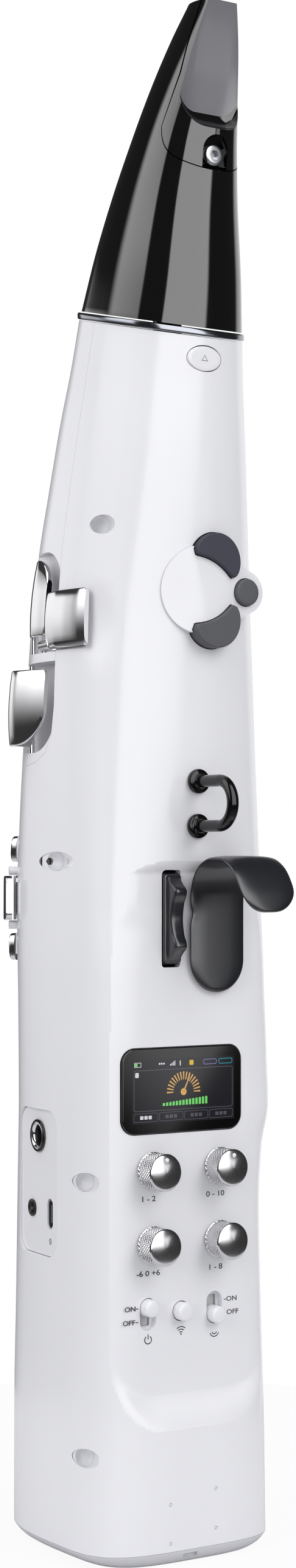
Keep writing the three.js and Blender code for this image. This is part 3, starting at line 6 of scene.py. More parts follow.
import bmesh
import bpy
import numpy as np
from mathutils import Matrix, Vector


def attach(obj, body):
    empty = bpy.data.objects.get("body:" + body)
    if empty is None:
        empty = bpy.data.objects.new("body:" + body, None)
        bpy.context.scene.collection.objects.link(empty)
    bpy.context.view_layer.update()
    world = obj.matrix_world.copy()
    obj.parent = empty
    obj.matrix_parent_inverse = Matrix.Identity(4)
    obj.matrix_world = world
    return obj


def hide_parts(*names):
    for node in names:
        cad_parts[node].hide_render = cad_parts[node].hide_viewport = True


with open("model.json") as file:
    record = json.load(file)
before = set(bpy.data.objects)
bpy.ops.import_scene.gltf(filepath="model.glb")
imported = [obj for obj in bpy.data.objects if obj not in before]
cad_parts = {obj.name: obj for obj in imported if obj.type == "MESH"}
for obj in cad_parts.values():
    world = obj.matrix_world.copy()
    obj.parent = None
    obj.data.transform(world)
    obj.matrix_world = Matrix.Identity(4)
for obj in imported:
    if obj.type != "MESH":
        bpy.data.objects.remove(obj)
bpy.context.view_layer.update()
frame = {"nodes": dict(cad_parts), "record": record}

MM = 0.001
GAP = 0.3
SEAM_GAP = 0.05
WALL = 2.4

# Sections of the housing: height, left and right half widths, thumb reach, widest line, front reach, the
# squareness of the thumb half and of the front half, and the lean of the section.
FOOT, NECK = 4.8, 424.0
BODY = np.array([
    [4.8, 38, 37.6, -41, -12, 44, 3.7, 2.8, 0],
    [45, 38, 36.9, -41, -12, 43.8, 3.7, 2.8, 0],
    [85, 38, 35.3, -41, -12, 42.1, 3.7, 2.8, 0],
    [120, 38, 34.4, -41, -12, 40.8, 3.7, 2.8, 0],
    [139.8, 38, 35.7, -41, -12, 40, 3.7, 2.8, 0],
    [154, 38, 38.9, -41, -12, 39.6, 3.7, 2.8, 0],
    [175, 38, 38, -41, -12, 39.8, 3.7, 2.8, 0],
    [200, 38, 37.2, -41, -11, 41.2, 3.6, 2.7, 0],
    [225, 37.9, 37.5, -40, -10, 41.8, 3.3, 2.7, 0],
    [250, 37.6, 37.6, -40, -8.5, 40.8, 3.0, 2.6, 0],
    [275, 37.2, 37.2, -40.4, -7.2, 38.3, 2.8, 2.55, 0],
    [300, 36.5, 36.5, -40.7, -6.5, 35.4, 2.7, 2.5, 0],
    [322, 35.5, 35.5, -41.3, -6.5, 33.7, 2.6, 2.45, 0.03],
    [345, 33.9, 33.9, -42.9, -7.2, 30.3, 2.5, 2.4, 0.07],
    [368, 31.9, 31.9, -44.6, -9.5, 25.6, 2.4, 2.3, 0.12],
    [390, 29.9, 29.9, -45.9, -12.4, 20.3, 2.3, 2.25, 0.18],
    [408, 28.2, 28.2, -46.4, -14.7, 14.7, 2.25, 2.2, 0.215],
    [424, 26.8, 26.8, -47.4, -17.0, 10.8, 2.2, 2.2, 0.242],
])
MOUTH_FOOT, TIP = 427.0, 529.5
MOUTH = np.array([
    [427, 26.2, 26.2, -47.8, -17.6, 10, 2.2, 2.2, 0.242],
    [446, 23.8, 23.8, -49.2, -20.9, 2.8, 2.2, 2.2, 0.245],
    [466, 20.5, 20.5, -49.8, -25.5, -5.6, 2.2, 2.2, 0.25],
    [486, 16.8, 16.8, -51.8, -31.8, -15.0, 2.2, 2.2, 0.25],
    [504, 13.0, 13.0, -55.5, -38.5, -23.5, 2.3, 2.2, 0.2],
    [518, 9.5, 9.5, -58.3, -45.2, -30.8, 2.5, 2.2, 0.15],
    [529.5, 6.2, 6.2, -59.0, -50.0, -38.4, 3.0, 2.2, 0.1],
])
SCOOP = {"at": (-31.5, -27.4, 319.0), "across": 9.0, "up": 17.0, "deep": 1.1}
ANGLES = np.arange(168) / 168 * 2 * np.pi


# Surfaces

def hermite(table, z):
    """Every column of a table at heights z: a monotone cubic through its rows."""
    xs, ys = table[:, 0], table[:, 1:]
    h = np.diff(xs)[:, None]
    d = np.diff(ys, axis=0) / h
    m = np.zeros_like(ys)
    same = d[:-1] * d[1:] > 0
    w1, w2 = 2 * h[1:] + h[:-1], h[1:] + 2 * h[:-1]
    with np.errstate(divide="ignore", invalid="ignore"):
        inner = (w1 + w2) / (w1 / d[:-1] + w2 / d[1:])
    m[1:-1] = np.where(same, inner, 0)
    m[0], m[-1] = d[0], d[-1]
    z = np.clip(np.asarray(z, float), xs[0], xs[-1])
    i = np.clip(np.searchsorted(xs, z, side="right") - 1, 0, len(xs) - 2)
    t = ((z - xs[i]) / h[i, 0])[..., None]
    low = (2 * t**3 - 3 * t**2 + 1) * ys[i] + (t**3 - 2 * t**2 + t) * h[i] * m[i]
    return low + (-2 * t**3 + 3 * t**2) * ys[i + 1] + (t**3 - t**2) * h[i] * m[i + 1]


def columns(table, z):
    """The columns of a table at heights z, each as an array of its own."""
    return np.moveaxis(hermite(table, z), -1, 0)


def scoop(p):
    """Depth of the finger dish: (1 - across^2 - up^2)^2 inside its ellipse."""
    x, y, z = SCOOP["at"]
    flat = ((p[..., 0] - x) ** 2 + (p[..., 1] - y) ** 2) / SCOOP["across"] ** 2
    tall = (p[..., 2] - z) ** 2 / SCOOP["up"] ** 2
    return SCOOP["deep"] * np.maximum(1 - flat - tall, 0) ** 2


def outline_at(table, z, angle, inset=0.0):
    """Points of the sections: a superellipse about the widest line, leaning with its distance from it."""
    z, angle, inset = np.broadcast_arrays(np.asarray(z, float), np.asarray(angle, float), inset)
    left, right, thumb, part, front, nt, nf, lean = columns(table, z)
    c, n = np.cos(angle), np.sin(angle)
    a = np.where(c < 0, left, right) - inset
    b = np.where(n < 0, part - thumb, front - part) - inset
    e = np.where(n < 0, nt, nf)
    size = ((np.abs(c) / a) ** e + (np.abs(n) / b) ** e) ** (-1 / e)
    place = np.stack([size * c, part + size * n, z + lean * size * n], -1)
    size = size - np.where(inset == 0, scoop(place), 0) if table is BODY else size
    return np.stack([size * c, part + size * n, z + lean * size * n], -1)


def level(table, p):
    """How far points lie outside the outer surface: (superellipse norm - 1) x reach, plus the dish."""
    x, y, z = p[..., 0], p[..., 1], p[..., 2]
    at = z
    for _ in range(5):
        s = columns(table, at)
        at = z - s[7] * (y - s[3])
    left, right, thumb, part, front, nt, nf, _ = columns(table, at)
    a = np.where(x < 0, left, right)
    b = np.where(y < part, part - thumb, front - part)
    e = np.where(y < part, nt, nf)
    rho = ((np.abs(x) / a) ** e + (np.abs(y - part) / b) ** e) ** (1 / e)
    far = (rho - 1) * np.hypot(x, y - part) / np.maximum(rho, 1e-6)
    return far + scoop(p) if table is BODY else far


def slope(surface, p, step=0.02):
    """Unit gradient of a level function by central differences."""
    moves = np.eye(3) * step
    g = np.stack([surface(p + m) - surface(p - m) for m in moves], -1)
    return g / np.linalg.norm(g, axis=-1, keepdims=True)


def face_y(x, z, sign=-1, table=BODY):
    """Y of the thumb face (-1) or of the front (1): the superellipse solved for y."""
    left, right, thumb, part, front, nt, nf, _ = columns(table, z)
    a = np.where(np.asarray(x) < 0, left, right)
    e = nt if sign < 0 else nf
    b = part - thumb if sign < 0 else front - part
    return part + sign * b * np.maximum(1 - np.abs(x / a) ** e, 0) ** (1 / e)


# The sunk control panel: a flat floor with round corners, walls that slope out, and blended edges.
FLOOR_Y, BACK_Y, LEDGE = -37.5, -34.9, 242.5
PRINT_Y = FLOOR_Y - 0.03
PANEL = {"half": 31.5, "low": 58.0, "high": 234.6, "top_round": 6.5, "low_round": 17.0}


def rounding(radius, away):
    """How far a round corner falls back at a distance from its side: r - sqrt(r^2 - (r - away)^2)."""
    return radius - np.sqrt(np.maximum(radius**2 - np.maximum(radius - away, 0) ** 2, 0))


def by_length(points):
    """A table of a line's points with the distance along it in the first column."""
    far = np.cumsum(np.linalg.norm(np.diff(points, axis=0), axis=1))
    return np.column_stack([np.concatenate([[0], far]), points])


def eased(t):
    """A smooth step from 0 to 1: t^2 (3 - 2t), flat outside that range."""
    t = np.clip(t, 0, 1)
    return t * t * (3 - 2 * t)


def panel_y(x, z):
    """Y of the panel: the floor, less a slope times the distance past its rounded outline."""
    middle = (PANEL["low"] + PANEL["high"]) / 2
    tall = (PANEL["high"] - PANEL["low"]) / 2
    r = np.where(z > middle, PANEL["top_round"], PANEL["low_round"])
    qx, qz = np.abs(x) - (PANEL["half"] - r), np.abs(z - middle) - (tall - r)
    away = np.hypot(np.maximum(qx, 0), np.maximum(qz, 0)) + np.minimum(np.maximum(qx, qz), 0) - r
    soft = 0.3 + 3.2 * eased((110 - z) / 50)
    away = np.maximum(away, 0)
    return FLOOR_Y - 0.63 * (np.sqrt(away**2 + soft**2) - soft)


def sunk_face(x, z):
    """Y of the blended face: the greater of the thumb face and the panel, rounded where they meet."""
    outer, inner = face_y(x, z), panel_y(x, z)
    r = 0.9 + 2.6 * eased((226 - z) / 12)
    blend = np.maximum(r - np.abs(outer - inner), 0) / r
    clear = np.clip(outer - inner - r, 0, 1)
    return np.maximum(outer, inner) + blend**2 * r / 4 - 0.02 - 0.6 * clear


# Meshes

def linked(name, data):
    """A new object in the scene with this data."""
    made = bpy.data.objects.new(name, data)
    bpy.context.scene.collection.objects.link(made)
    return made


def solids(name, grids, looped=False):
    """Closed bodies from grids whose columns wrap round: their rows wrap too, or the end rows get caps."""
    verts, faces, base = [], [], 0
    for grid in grids:
        rows, cols = grid.shape[:2]
        a = np.arange(rows * cols).reshape(rows, cols) + base
        b = np.roll(a, -1, 1)
        quads = np.stack([a, b, np.roll(b, -1, 0), np.roll(a, -1, 0)], -1)
        if looped:
            faces += quads.reshape(-1, 4).tolist()
        else:
            faces += quads[:-1].reshape(-1, 4).tolist()
            faces += [a[0, ::-1].tolist(), a[-1].tolist()]
        verts.append(grid.reshape(-1, 3))
        base += rows * cols
    mesh = bpy.data.meshes.new(name)
    mesh.from_pydata((np.concatenate(verts) * MM).tolist(), [], faces)
    bm = bmesh.new()
    bm.from_mesh(mesh)
    bmesh.ops.recalc_face_normals(bm, faces=bm.faces)
    if bm.calc_volume(signed=True) < 0:
        bmesh.ops.reverse_faces(bm, faces=bm.faces)
    bm.to_mesh(mesh)
    bm.free()
    return linked(name, mesh)


def solid(name, grid, looped=False):
    """One closed body from a grid of points."""
    return solids(name, [grid], looped)


def circle(radius, cx=0.0, cz=0.0, sides=48):
    """Points (cx + radius cos t, cz + radius sin t) once round."""
    t = np.arange(sides) / sides * 2 * np.pi
    return np.stack([cx + radius * np.cos(t), cz + radius * np.sin(t)], -1)


def rounded(width, height, radii, cx=0.0, cz=0.0, steps=8):
    """A rectangle with quarter circles, from its lower right corner on round: one radius or four."""
    r = np.repeat(np.broadcast_to(np.asarray(radii, float), 4), steps + 1)
    t = ((np.arange(4) - 1)[:, None] + np.arange(steps + 1) / steps).ravel() * np.pi / 2
    sx = np.repeat([1, 1, -1, -1], steps + 1)
    sz = np.repeat([-1, 1, 1, -1], steps + 1)
    x = cx + sx * (width / 2 - r) + r * np.cos(t)
    return np.stack([x, cz + sz * (height / 2 - r) + r * np.sin(t)], -1)


def drawn_in(outline, by):
    """An outline moved along its own normals."""
    along = np.roll(outline, -1, 0) - np.roll(outline, 1, 0)
    along /= np.linalg.norm(along, axis=1, keepdims=True)
    return outline - by * np.stack([along[:, 1], -along[:, 0]], -1)


def plane(origin, right, up, out):
    """Carries (across, up, out) onto a plane in space."""
    origin, right, up, out = (np.asarray(v, float) for v in (origin, right, up, out))
    return lambda u, v, h: origin + u[..., None] * right + v[..., None] * up + h[..., None] * out


def thumb_plane(y):
    """The upright plane at y that faces the player: across is x, up is z, out is -y."""
    return plane((0, y, 0), (1, 0, 0), (0, 0, 1), (0, -1, 0))


ON_FLOOR = thumb_plane(FLOOR_Y)


def pad_grid(outline, profile, place):
    """An outline drawn in by each row of a profile of (inset, height), carried onto a surface."""
    rings = np.stack([drawn_in(outline, inset) for inset, _ in profile])
    high = np.broadcast_to(np.array([h for _, h in profile])[:, None], rings.shape[:2])
    return place(rings[..., 0], rings[..., 1], high)


def turned_grid(profile, place, cx=0.0, cz=0.0, sides=64):
    """A profile of (radius, height) turned about an axis through (cx, cz)."""
    rows = np.asarray(profile, float)
    ring = circle(1, 0, 0, sides)
    uv = rows[:, 0, None, None] * ring + np.array([cx, cz])
    return place(uv[..., 0], uv[..., 1], np.broadcast_to(rows[:, 1, None], uv.shape[:2]))


def soft_edge(size, high, steps=5):
    """Rows of a quarter round of a size that ends at a height."""
    t = np.linspace(0, np.pi / 2, steps)
    return [(size * (1 - math.cos(a)), high - size + size * math.sin(a)) for a in t]


def slab_grid(outline, low, high, axis="y"):
    """An outline pushed along an axis: (x, z) along y, (y, z) along x or (x, y) along z."""
    flat = np.stack([outline, outline])
    run = np.broadcast_to(np.array([low, high])[:, None], flat.shape[:2])
    order = {"y": (flat[..., 0], run, flat[..., 1]), "x": (run, *np.moveaxis(flat, -1, 0))}
    order["z"] = (*np.moveaxis(flat, -1, 0), run)
    return np.stack(order[axis], -1)


def slab(outline, low, high, axis="y"):
    """A body between two places on an axis, with an outline as its section."""
    return solid("slab", slab_grid(outline, low, high, axis))


def bar_grid(a, b, radius, sides=48, end=None):
    """A round bar between two points, with the radius at each end."""
    a, b = np.asarray(a, float), np.asarray(b, float)
    along = (b - a) / np.linalg.norm(b - a)
    side = np.cross(along, [0, 0, 1.0] if abs(along[2]) < 0.9 else [1.0, 0, 0])
    side /= np.linalg.norm(side)
    ring = circle(1, 0, 0, sides)
    spokes = ring[:, :1] * side + ring[:, 1:] * np.cross(along, side)
    return np.stack([a + radius * spokes, b + (radius if end is None else end) * spokes])


def bar(a, b, radius, sides=48, end=None):
    """The body of a round bar between two points."""
    return solid("bar", bar_grid(a, b, radius, sides, end))


def combine(base, tools, how="DIFFERENCE"):
    """Cuts, joins or keeps what base shares with each tool, and deletes the tools."""
    for tool in tools:
        step = base.modifiers.new("b", "BOOLEAN")
        step.operation = how
        step.solver = "MANIFOLD"
        step.object = tool
        bpy.context.view_layer.update()
        graph = bpy.context.evaluated_depsgraph_get()
        made = bpy.data.meshes.new_from_object(base.evaluated_get(graph))
        base.modifiers.clear()
        base.data = made
        bpy.data.objects.remove(tool)
    return base


def cut(base, tools):
    """Takes the union of many small tools off a body in one step."""
    return combine(base, [combine(tools[0], tools[1:], "UNION")])


# A face this wide, in square millimetres, is flat, and points this near a surface lie on it.
WIDE_FACE, ON_SURFACE = 20, 0.12


def shaded(made, surfaces, angle=32):
    """Smooth shading, with exact normals on the faces of level functions, or else on wide flat faces."""
    mesh = made.data
    mesh.shade_smooth()
    mesh.set_sharp_from_angle(angle=math.radians(angle))
    loops, faces = len(mesh.loops), len(mesh.polygons)
    normals = np.empty(loops * 3, np.float32)
    mesh.corner_normals.foreach_get("vector", normals)
    normals = normals.reshape(-1, 3)
    points = np.empty(len(mesh.vertices) * 3, np.float32)
    mesh.vertices.foreach_get("co", points)
    points = points.reshape(-1, 3).astype(float) / MM
    corner = np.empty(loops, np.int32)
    mesh.loops.foreach_get("vertex_index", corner)
    own = np.empty(faces * 3, np.float32)
    mesh.polygons.foreach_get("normal", own)
    counts = np.empty(faces, np.int32)
    mesh.polygons.foreach_get("loop_total", counts)
    face_of = np.repeat(np.arange(faces), counts)
    start = np.concatenate([[0], np.cumsum(counts)[:-1]])
    area = np.empty(faces, np.float32)
    mesh.polygons.foreach_get("area", area)
    done = area > (np.inf if surfaces else WIDE_FACE * MM**2)
    normals[done[face_of]] = own.reshape(-1, 3)[face_of][done[face_of]]
    for surface in surfaces:
        off = np.abs(surface(points))
        worst = np.maximum.reduceat(off[corner], start)
        exact = slope(surface, points)
        mean = np.add.reduceat(exact[corner], start, axis=0) / counts[:, None]
        near = (worst < ON_SURFACE) & ((mean * own.reshape(-1, 3)).sum(1) > 0.9) & ~done
        picked = near[face_of]
        normals[picked] = exact[corner][picked]
        done |= near
    mesh.normals_split_custom_set(normals.tolist())
    return made


# Materials

class Value:
    """A number on a socket; arithmetic on it adds Math nodes."""

    def __init__(self, finish, socket):
        self.finish, self.socket = finish, socket

    def sum_of(self, operation, a, b):
        """The value of a Math node with this operation."""
        return self.finish.node("Math", {"operation": operation}, {0: a, 1: b})

    def __add__(self, other):
        return self.sum_of("ADD", self, other)

    def __sub__(self, other):
        return self.sum_of("SUBTRACT", self, other)

    def __rsub__(self, other):
        return self.sum_of("SUBTRACT", other, self)

    def __mul__(self, other):
        return self.sum_of("MULTIPLY", self, other)

    def __lt__(self, other):
        return self.sum_of("LESS_THAN", self, other)

    def __abs__(self):
        return self.sum_of("ABSOLUTE", self, 0)

    __radd__, __rmul__ = __add__, __mul__


class Finish:
    """A principled material; constants go onto its own sockets."""

    def __init__(self, name, **constants):
        self.material = bpy.data.materials.new(name)
        self.material.use_nodes = True
        self.tree = self.material.node_tree
        self.shader = self.tree.nodes["Principled BSDF"]
        for key, value in constants.items():
            self.set("IOR" if key == "ior" else key.replace("_", " ").title(), value)
        self.place = self.node("TexCoord", {}, {}, "Object")

    def set(self, socket, value):
        """Links a value to one of the shader's sockets, or sets a constant there."""
        self.put(self.shader.inputs[socket], value)

    def put(self, socket, value):
        """Links a value to any socket of the tree, or sets a constant there."""
        if isinstance(value, Value):
            self.tree.links.new(value.socket, socket)
        else:
            socket.default_value = value

    def node(self, kind, settings, values, output=0):
        """Adds a node of a type with its settings and the values or links of its sockets."""
        made = self.tree.nodes.new("ShaderNode" + kind)
        for key, value in settings.items():
            setattr(made, key, value)
        for key, value in values.items():
            self.put(made.inputs[key], value)
        return Value(self, made.outputs[output])

    def noise(self, scale, detail=3.0):
        """Soft noise in object space."""
        return self.node("TexNoise", {}, {"Vector": self.place, "Scale": scale, "Detail": detail}, "Fac")

    def along(self, axis):
        """One coordinate in object space, in metres."""
        return self.node("SeparateXYZ", {}, {0: self.place}, axis)

    def now(self, socket):
        """What already feeds one of the shader's sockets."""
        return Value(self, self.shader.inputs[socket].links[0].from_socket)

    def mix(self, share, first, second):
        """Blends two colours by a share; the colour sockets of this node are its seventh and eighth."""
        return self.node("Mix", {"data_type": "RGBA"}, {0: share, 6: first, 7: second}, 2)

    def bump(self, height, strength, distance=0.0001):
        """Raises the surface's normal by a height."""
        values = {"Height": height, "Strength": strength, "Distance": distance}
        self.set("Normal", self.node("Bump", {}, values))


def tone(color, by=1.0):
    """A colour times a number, with full alpha."""
    return (*(c * by for c in color), 1)


def moulded(name, color, roughness, grain=0.0, grain_scale=900.0, vary=0.03, darker=0.97, **constants):
    """A finish whose tone and roughness drift over the surface, with a fine moulding grain."""
    made = Finish(name, **constants)
    cloud = made.noise(35.0)
    made.set("Roughness", cloud * (2 * vary) + (roughness - vary))
    made.set("Base Color", made.mix(cloud, tone(color, darker), tone(color)))
    if grain:
        made.bump(made.noise(grain_scale, 2.0), grain)
    return made


WHITE = moulded("white_plastic", (0.80, 0.80, 0.825), 0.24, 0.04, 260.0, coat_weight=0.2, coat_roughness=0.08)
CAP_WHITE = moulded("cap_plastic", (0.66, 0.66, 0.69), 0.4, 0.1)
SATIN = moulded("dark_satin", (0.012, 0.0125, 0.016), 0.28, 0.08, 1400.0, ior=1.8)
BUTTON = moulded("grey_rubber", (0.082, 0.083, 0.089), 0.55, 0.2, 1600.0)
BUTTON_BLUE = moulded("blue_grey_rubber", (0.034, 0.035, 0.051), 0.55, 0.2, 1600.0)
RING_BLACK = moulded("black_enamel", (0.003, 0.003, 0.0035), 0.1, vary=0.02)
NECK_METAL = moulded("dark_chrome", (0.3, 0.31, 0.34), 0.16, vary=0.02, metallic=1.0)
CHROME = moulded("chrome", (0.78, 0.78, 0.79), 0.08, vary=0.015, metallic=1.0)
TURNED = moulded("turned_metal", (0.68, 0.68, 0.69), 0.16, vary=0.02, metallic=1.0)
STEEL = moulded("steel", (0.62, 0.63, 0.65), 0.3, metallic=1.0)
PLATE = moulded("pale_satin", (0.62, 0.61, 0.58), 0.4, 0.1)
CELL = moulded("cell_sleeve", (0.05, 0.14, 0.4), 0.4, 0.1)
LIGHT = moulded("light_pipe", (0.42, 0.42, 0.43), 0.25)
MARK = moulded("printed_grey", (0.045, 0.045, 0.05), 0.5, darker=0.9)
DARK = moulded("dark_socket", (0.01, 0.009, 0.009), 0.3)
GLASS = moulded("display_glass", (0.001, 0.001, 0.0012), 0.05, vary=0.01, coat_weight=0.3)


def lit(name, color, strength):
    """A part of the screen picture that gives its own light, a little uneven as pixels are."""
    made = moulded(name, (0.004, 0.004, 0.004), 0.05, vary=0.01, emission_strength=strength)
    made.set("Emission Color", made.mix(made.noise(900.0), tone(color, 0.8), tone(color)))
    return made


def resin():
    """Black gloss resin whose flat reed face is a satin grey: a mask from the distance to that plane."""
    gloss = {"ior": 1.75, "coat_weight": 0.4, "coat_roughness": 0.03}
    made = moulded("black_resin", (0.003, 0.003, 0.0035), 0.07, vary=0.02, **gloss)
    y, z = made.along("Y"), made.along("Z")
    face = (TIP * MM - z) * REED["lean"] - REED["face"] * MM
    on_face = (abs(y - face) < 0.06 * MM) * (1 - (z < REED["foot"] * MM))
    made.set("Base Color", made.mix(on_face, made.now("Base Color"), tone((0.147, 0.144, 0.158))))
    made.set("Roughness", made.now("Roughness") + on_face * 0.3)
    return made


def board():
    """Green board whose component bodies, in front of its face, are a pale moulding: a mask by depth."""
    made = moulded("board", (0.02, 0.11, 0.05), 0.5, 0.1, 600.0)
    raised = made.along("Y") < BOARD_FACE_Y * MM
    made.set("Base Color", made.mix(raised, made.now("Base Color"), tone((0.55, 0.55, 0.56))))
    return made


BOARD_FACE_Y = -31.2
BOARD = board()
REED = {"lean": 0.273, "face": 55.6, "foot": 493.0, "runout": 9.0, "drop": 6.75}
BLACK_GLOSS = resin()

SLOTS = {
    "white": WHITE, "cap_white": CAP_WHITE, "black_gloss": BLACK_GLOSS, "satin": SATIN, "chrome": CHROME,
    "steel": STEEL, "plate": PLATE, "board": BOARD, "cell": CELL, "glass": GLASS, "light": LIGHT,
}
for sub in frame["record"]["subparts"]:
    node = frame["nodes"][sub["node"]]
    node.data.materials.clear()
    node.data.materials.append(SLOTS[sub["material_slot"]].material)


def piece(made, name, finish, body="housing", replaces=None, slot=None, angle=32, surfaces=()):
    """Names, shades and paints a piece, hangs it on its body's empty, and hides the frame part it replaces.
    """
    made.name = made.data.name = name
    shaded(made, surfaces, angle)
    made.data.materials.clear()
    made.data.materials.append(finish.material)
    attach(made, body)
    if replaces:
        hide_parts(replaces)
    return made


def moving(made, name, ending, finish, slot="chrome", angle=32):
    """A piece that is the whole of the moving node it is named after."""
    return piece(made, name + ending, finish, body=name, replaces=name, slot=slot, angle=angle)


# Camera

RIGHT, LOOK = np.array([0.831, -0.556, 0]), np.array([0.556, 0.831, 0])
CAMERA_AWAY, CAMERA_ASIDE, CAMERA_Z = 945.2, 5.555, 240.7
IMAGE_HEIGHT, FOCAL_PX, HORIZON_PX = 2576, 4385, 1407
camera_data = bpy.data.cameras.new("camera")
camera_data.sensor_width = 36
camera_data.lens = 36 * FOCAL_PX / IMAGE_HEIGHT
camera_data.shift_y = HORIZON_PX / IMAGE_HEIGHT - 0.5
camera_data.clip_start, camera_data.clip_end = 0.01, 20
camera = linked("camera", camera_data)
stand = Vector(CAMERA_ASIDE * RIGHT - CAMERA_AWAY * LOOK + np.array([0, 0, CAMERA_Z])) * MM
turn = Vector(LOOK).normalized().to_track_quat("-Z", "Y").to_matrix().to_4x4()
camera.matrix_world = Matrix.Translation(stand) @ turn
bpy.context.scene.camera = camera

# Places shared by several pieces

DISPLAY = {"x": -4.4, "z": 161.2, "width": 49.0, "height": 29.0, "round": 5.0, "front": FLOOR_Y - 0.3}
KNOBS = {
    "knob_upper_left": (-16.7, 134.2), "knob_upper_right": (11.0, 134.2),
    "knob_lower_left": (-16.7, 109.0), "knob_lower_right": (11.0, 109.0),
}
SWITCH_Z, SWITCHES, PAIR_X = 85.6, {"power_switch": (-18.4, 1), "bite_switch": (9.0, -1)}, -4.9
ROCKER = {"x": -9.0, "z": 219.5, "width": 7.0, "length": 30.4, "pivot": -33.3, "swing": 16.3}
RING_Z, LEG = 258.7, 7.65
PLATE_Z, LUG_X = 331.5, 17.6
PLATE_Y = float(face_y(0.0, PLATE_Z)) - 2.37
PINHOLES = [(-11.4, 20.9), (7.3, 10.6)]
PIN_DIMPLES = [(-11.4, 7.6), (7.3, 24.2)]
SCREWS = [(36.8, -27.8, 37.2), (36.8, -28.0, 130.5), (37.7, -10.2, 239.0), (29.9, -27.1, 353.5)]
SCREW_TURN = math.radians(17)
SEAM = np.array([
    (29.9, -8.5), (29.9, 182.3), (26.4, 205.2), (22, 240), (19.8, 268), (15, 272.4), (5.7, 273.5),
    (-1.3, 276.4), (-5.3, 282.8), (-6.6, 292.6), (-6.5, 322.2), (-7.1, 345.1), (-9.4, 368), (-12.3, 390.1),
    (-14.7, 407.9), (-17, 424), (-19.8, 436.7),
])
PORT_INWARD = np.array([0.9929, -0.1188, 0])
PORT_ALONG = np.array([0.1188, 0.9929, 0])
PORT_ORIGIN = np.array([-35.83, 4.2, 0])
PORT = plane(PORT_ORIGIN, PORT_ALONG, (0, 0, 1), -PORT_INWARD)
PORT_OUTLINE = {"width": 29.6, "length": 50.4, "round": 6.0, "low": 102.6}
JACK, PHONES, USB, LAMP = (0.4, 143.6), (5.5, 118.0), (-8.6, 117.3), (-8.8, 107.8)
PORT_HOLES, USB_SIZE = [(4.3, JACK), (2.5, PHONES), (0.8, LAMP)], (4.1, 10.0)


# Cuts start outside the thumb face and end on its hollow side.
OUTSIDE, THROUGH = -60, -30
SPIGOT_Y, SPIGOT_RADIUS = -22, 5
REED_SCREW_Z = 478
# Half widths of the neck button, then radii: the round thumb button's hole, a flank recess, its boss.
OVAL_ACROSS, OVAL_UP = 6.7, 4.2
THUMB_HOLE, RECESS, BOSS = 4.9, 3.3, 5.7


def seam_side(shift, front):
    """What lies on one side of the seam: its line, moved along its normal, closed far away."""
    along = np.gradient(SEAM, axis=0)
    along /= np.linalg.norm(along, axis=1, keepdims=True)
    line = SEAM + shift * np.stack([along[:, 1], -along[:, 0]], -1)
    far = 90 if front else -90
    outline = np.concatenate([[(far, line[0, 1])], line, [(far, line[-1, 1])]])
    return slab(outline, -90, 90, "x")


def octave_outline(side, grow):
    """A crescent about the plate's middle: radii that swell and dip with the sine of the sweep."""
    share = np.linspace(0, 1, 28)
    swell = np.sin(np.pi * np.clip(share, 0, 1))
    spread = math.degrees(grow / 12.5)
    angle = np.radians(22 - spread + (84 + 2 * spread) * share)
    outer = 14.1 + 6.7 * swell**0.8 + grow
    inner = 12.5 - 1.8 * swell**0.6 - grow
    radius, angle = np.concatenate([outer, inner[::-1]]), np.concatenate([angle, angle[::-1]])
    ring = np.stack([radius * np.cos(angle), PLATE_Z + side * radius * np.sin(angle)], -1)
    return ring if side > 0 else ring[::-1]


def screw_bar(spot, side, a, b, radius):
    """A bar along a screw recess, slanting into the flank, between two depths."""
    x, y, z = spot
    along = np.array([-side * math.sin(SCREW_TURN), math.cos(SCREW_TURN), 0])
    at = np.array([side * x, y, z])
    return bar_grid(at + along * a, at + along * b, radius, 40)


def neck_place():
    """The leaning plane of the neck button."""
    y = float(face_y(-1.4, 409.6))
    return plane((-1.4, y, 409.6), (1, 0, 0), (0, -0.047, 0.9989), (0, -0.9989, -0.047))


def pins():
    """A short pin in each pinhole and dimple, so that a fine ring shows round it."""
    grids = []
    for x, z in PINHOLES + PIN_DIMPLES:
        y = float(face_y(x, z))
        grids.append(slab_grid(circle(0.42, x, z, 20), y + 0.05, y + 2.2))
    return solids("pins", grids)


def port_slab(outline, deep, proud):
    """A body square to the port panel, from a depth behind its face to a height before it."""
    return solid("port", pad_grid(outline, [(0, -deep), (0, proud)], PORT))


def port_outline(grow):
    """The port panel's rounded outline, grown all round."""
    o = PORT_OUTLINE
    width, length = o["width"] + 2 * grow, o["length"] + 2 * grow
    return rounded(width, length, o["round"] + grow, 0, o["low"] + o["length"] / 2)


def port_holes(grow, deep, proud):
    """The tools for the four holes behind the port panel."""
    outlines = [circle(radius + grow, *at) for radius, at in PORT_HOLES]
    width, length = (side + 2 * grow for side in USB_SIZE)
    outlines.append(rounded(width, length, width / 2 - 0.01, *USB))
    return [port_slab(outline, deep, proud) for outline in outlines]


# The palm keys' shapes, shared with the shells

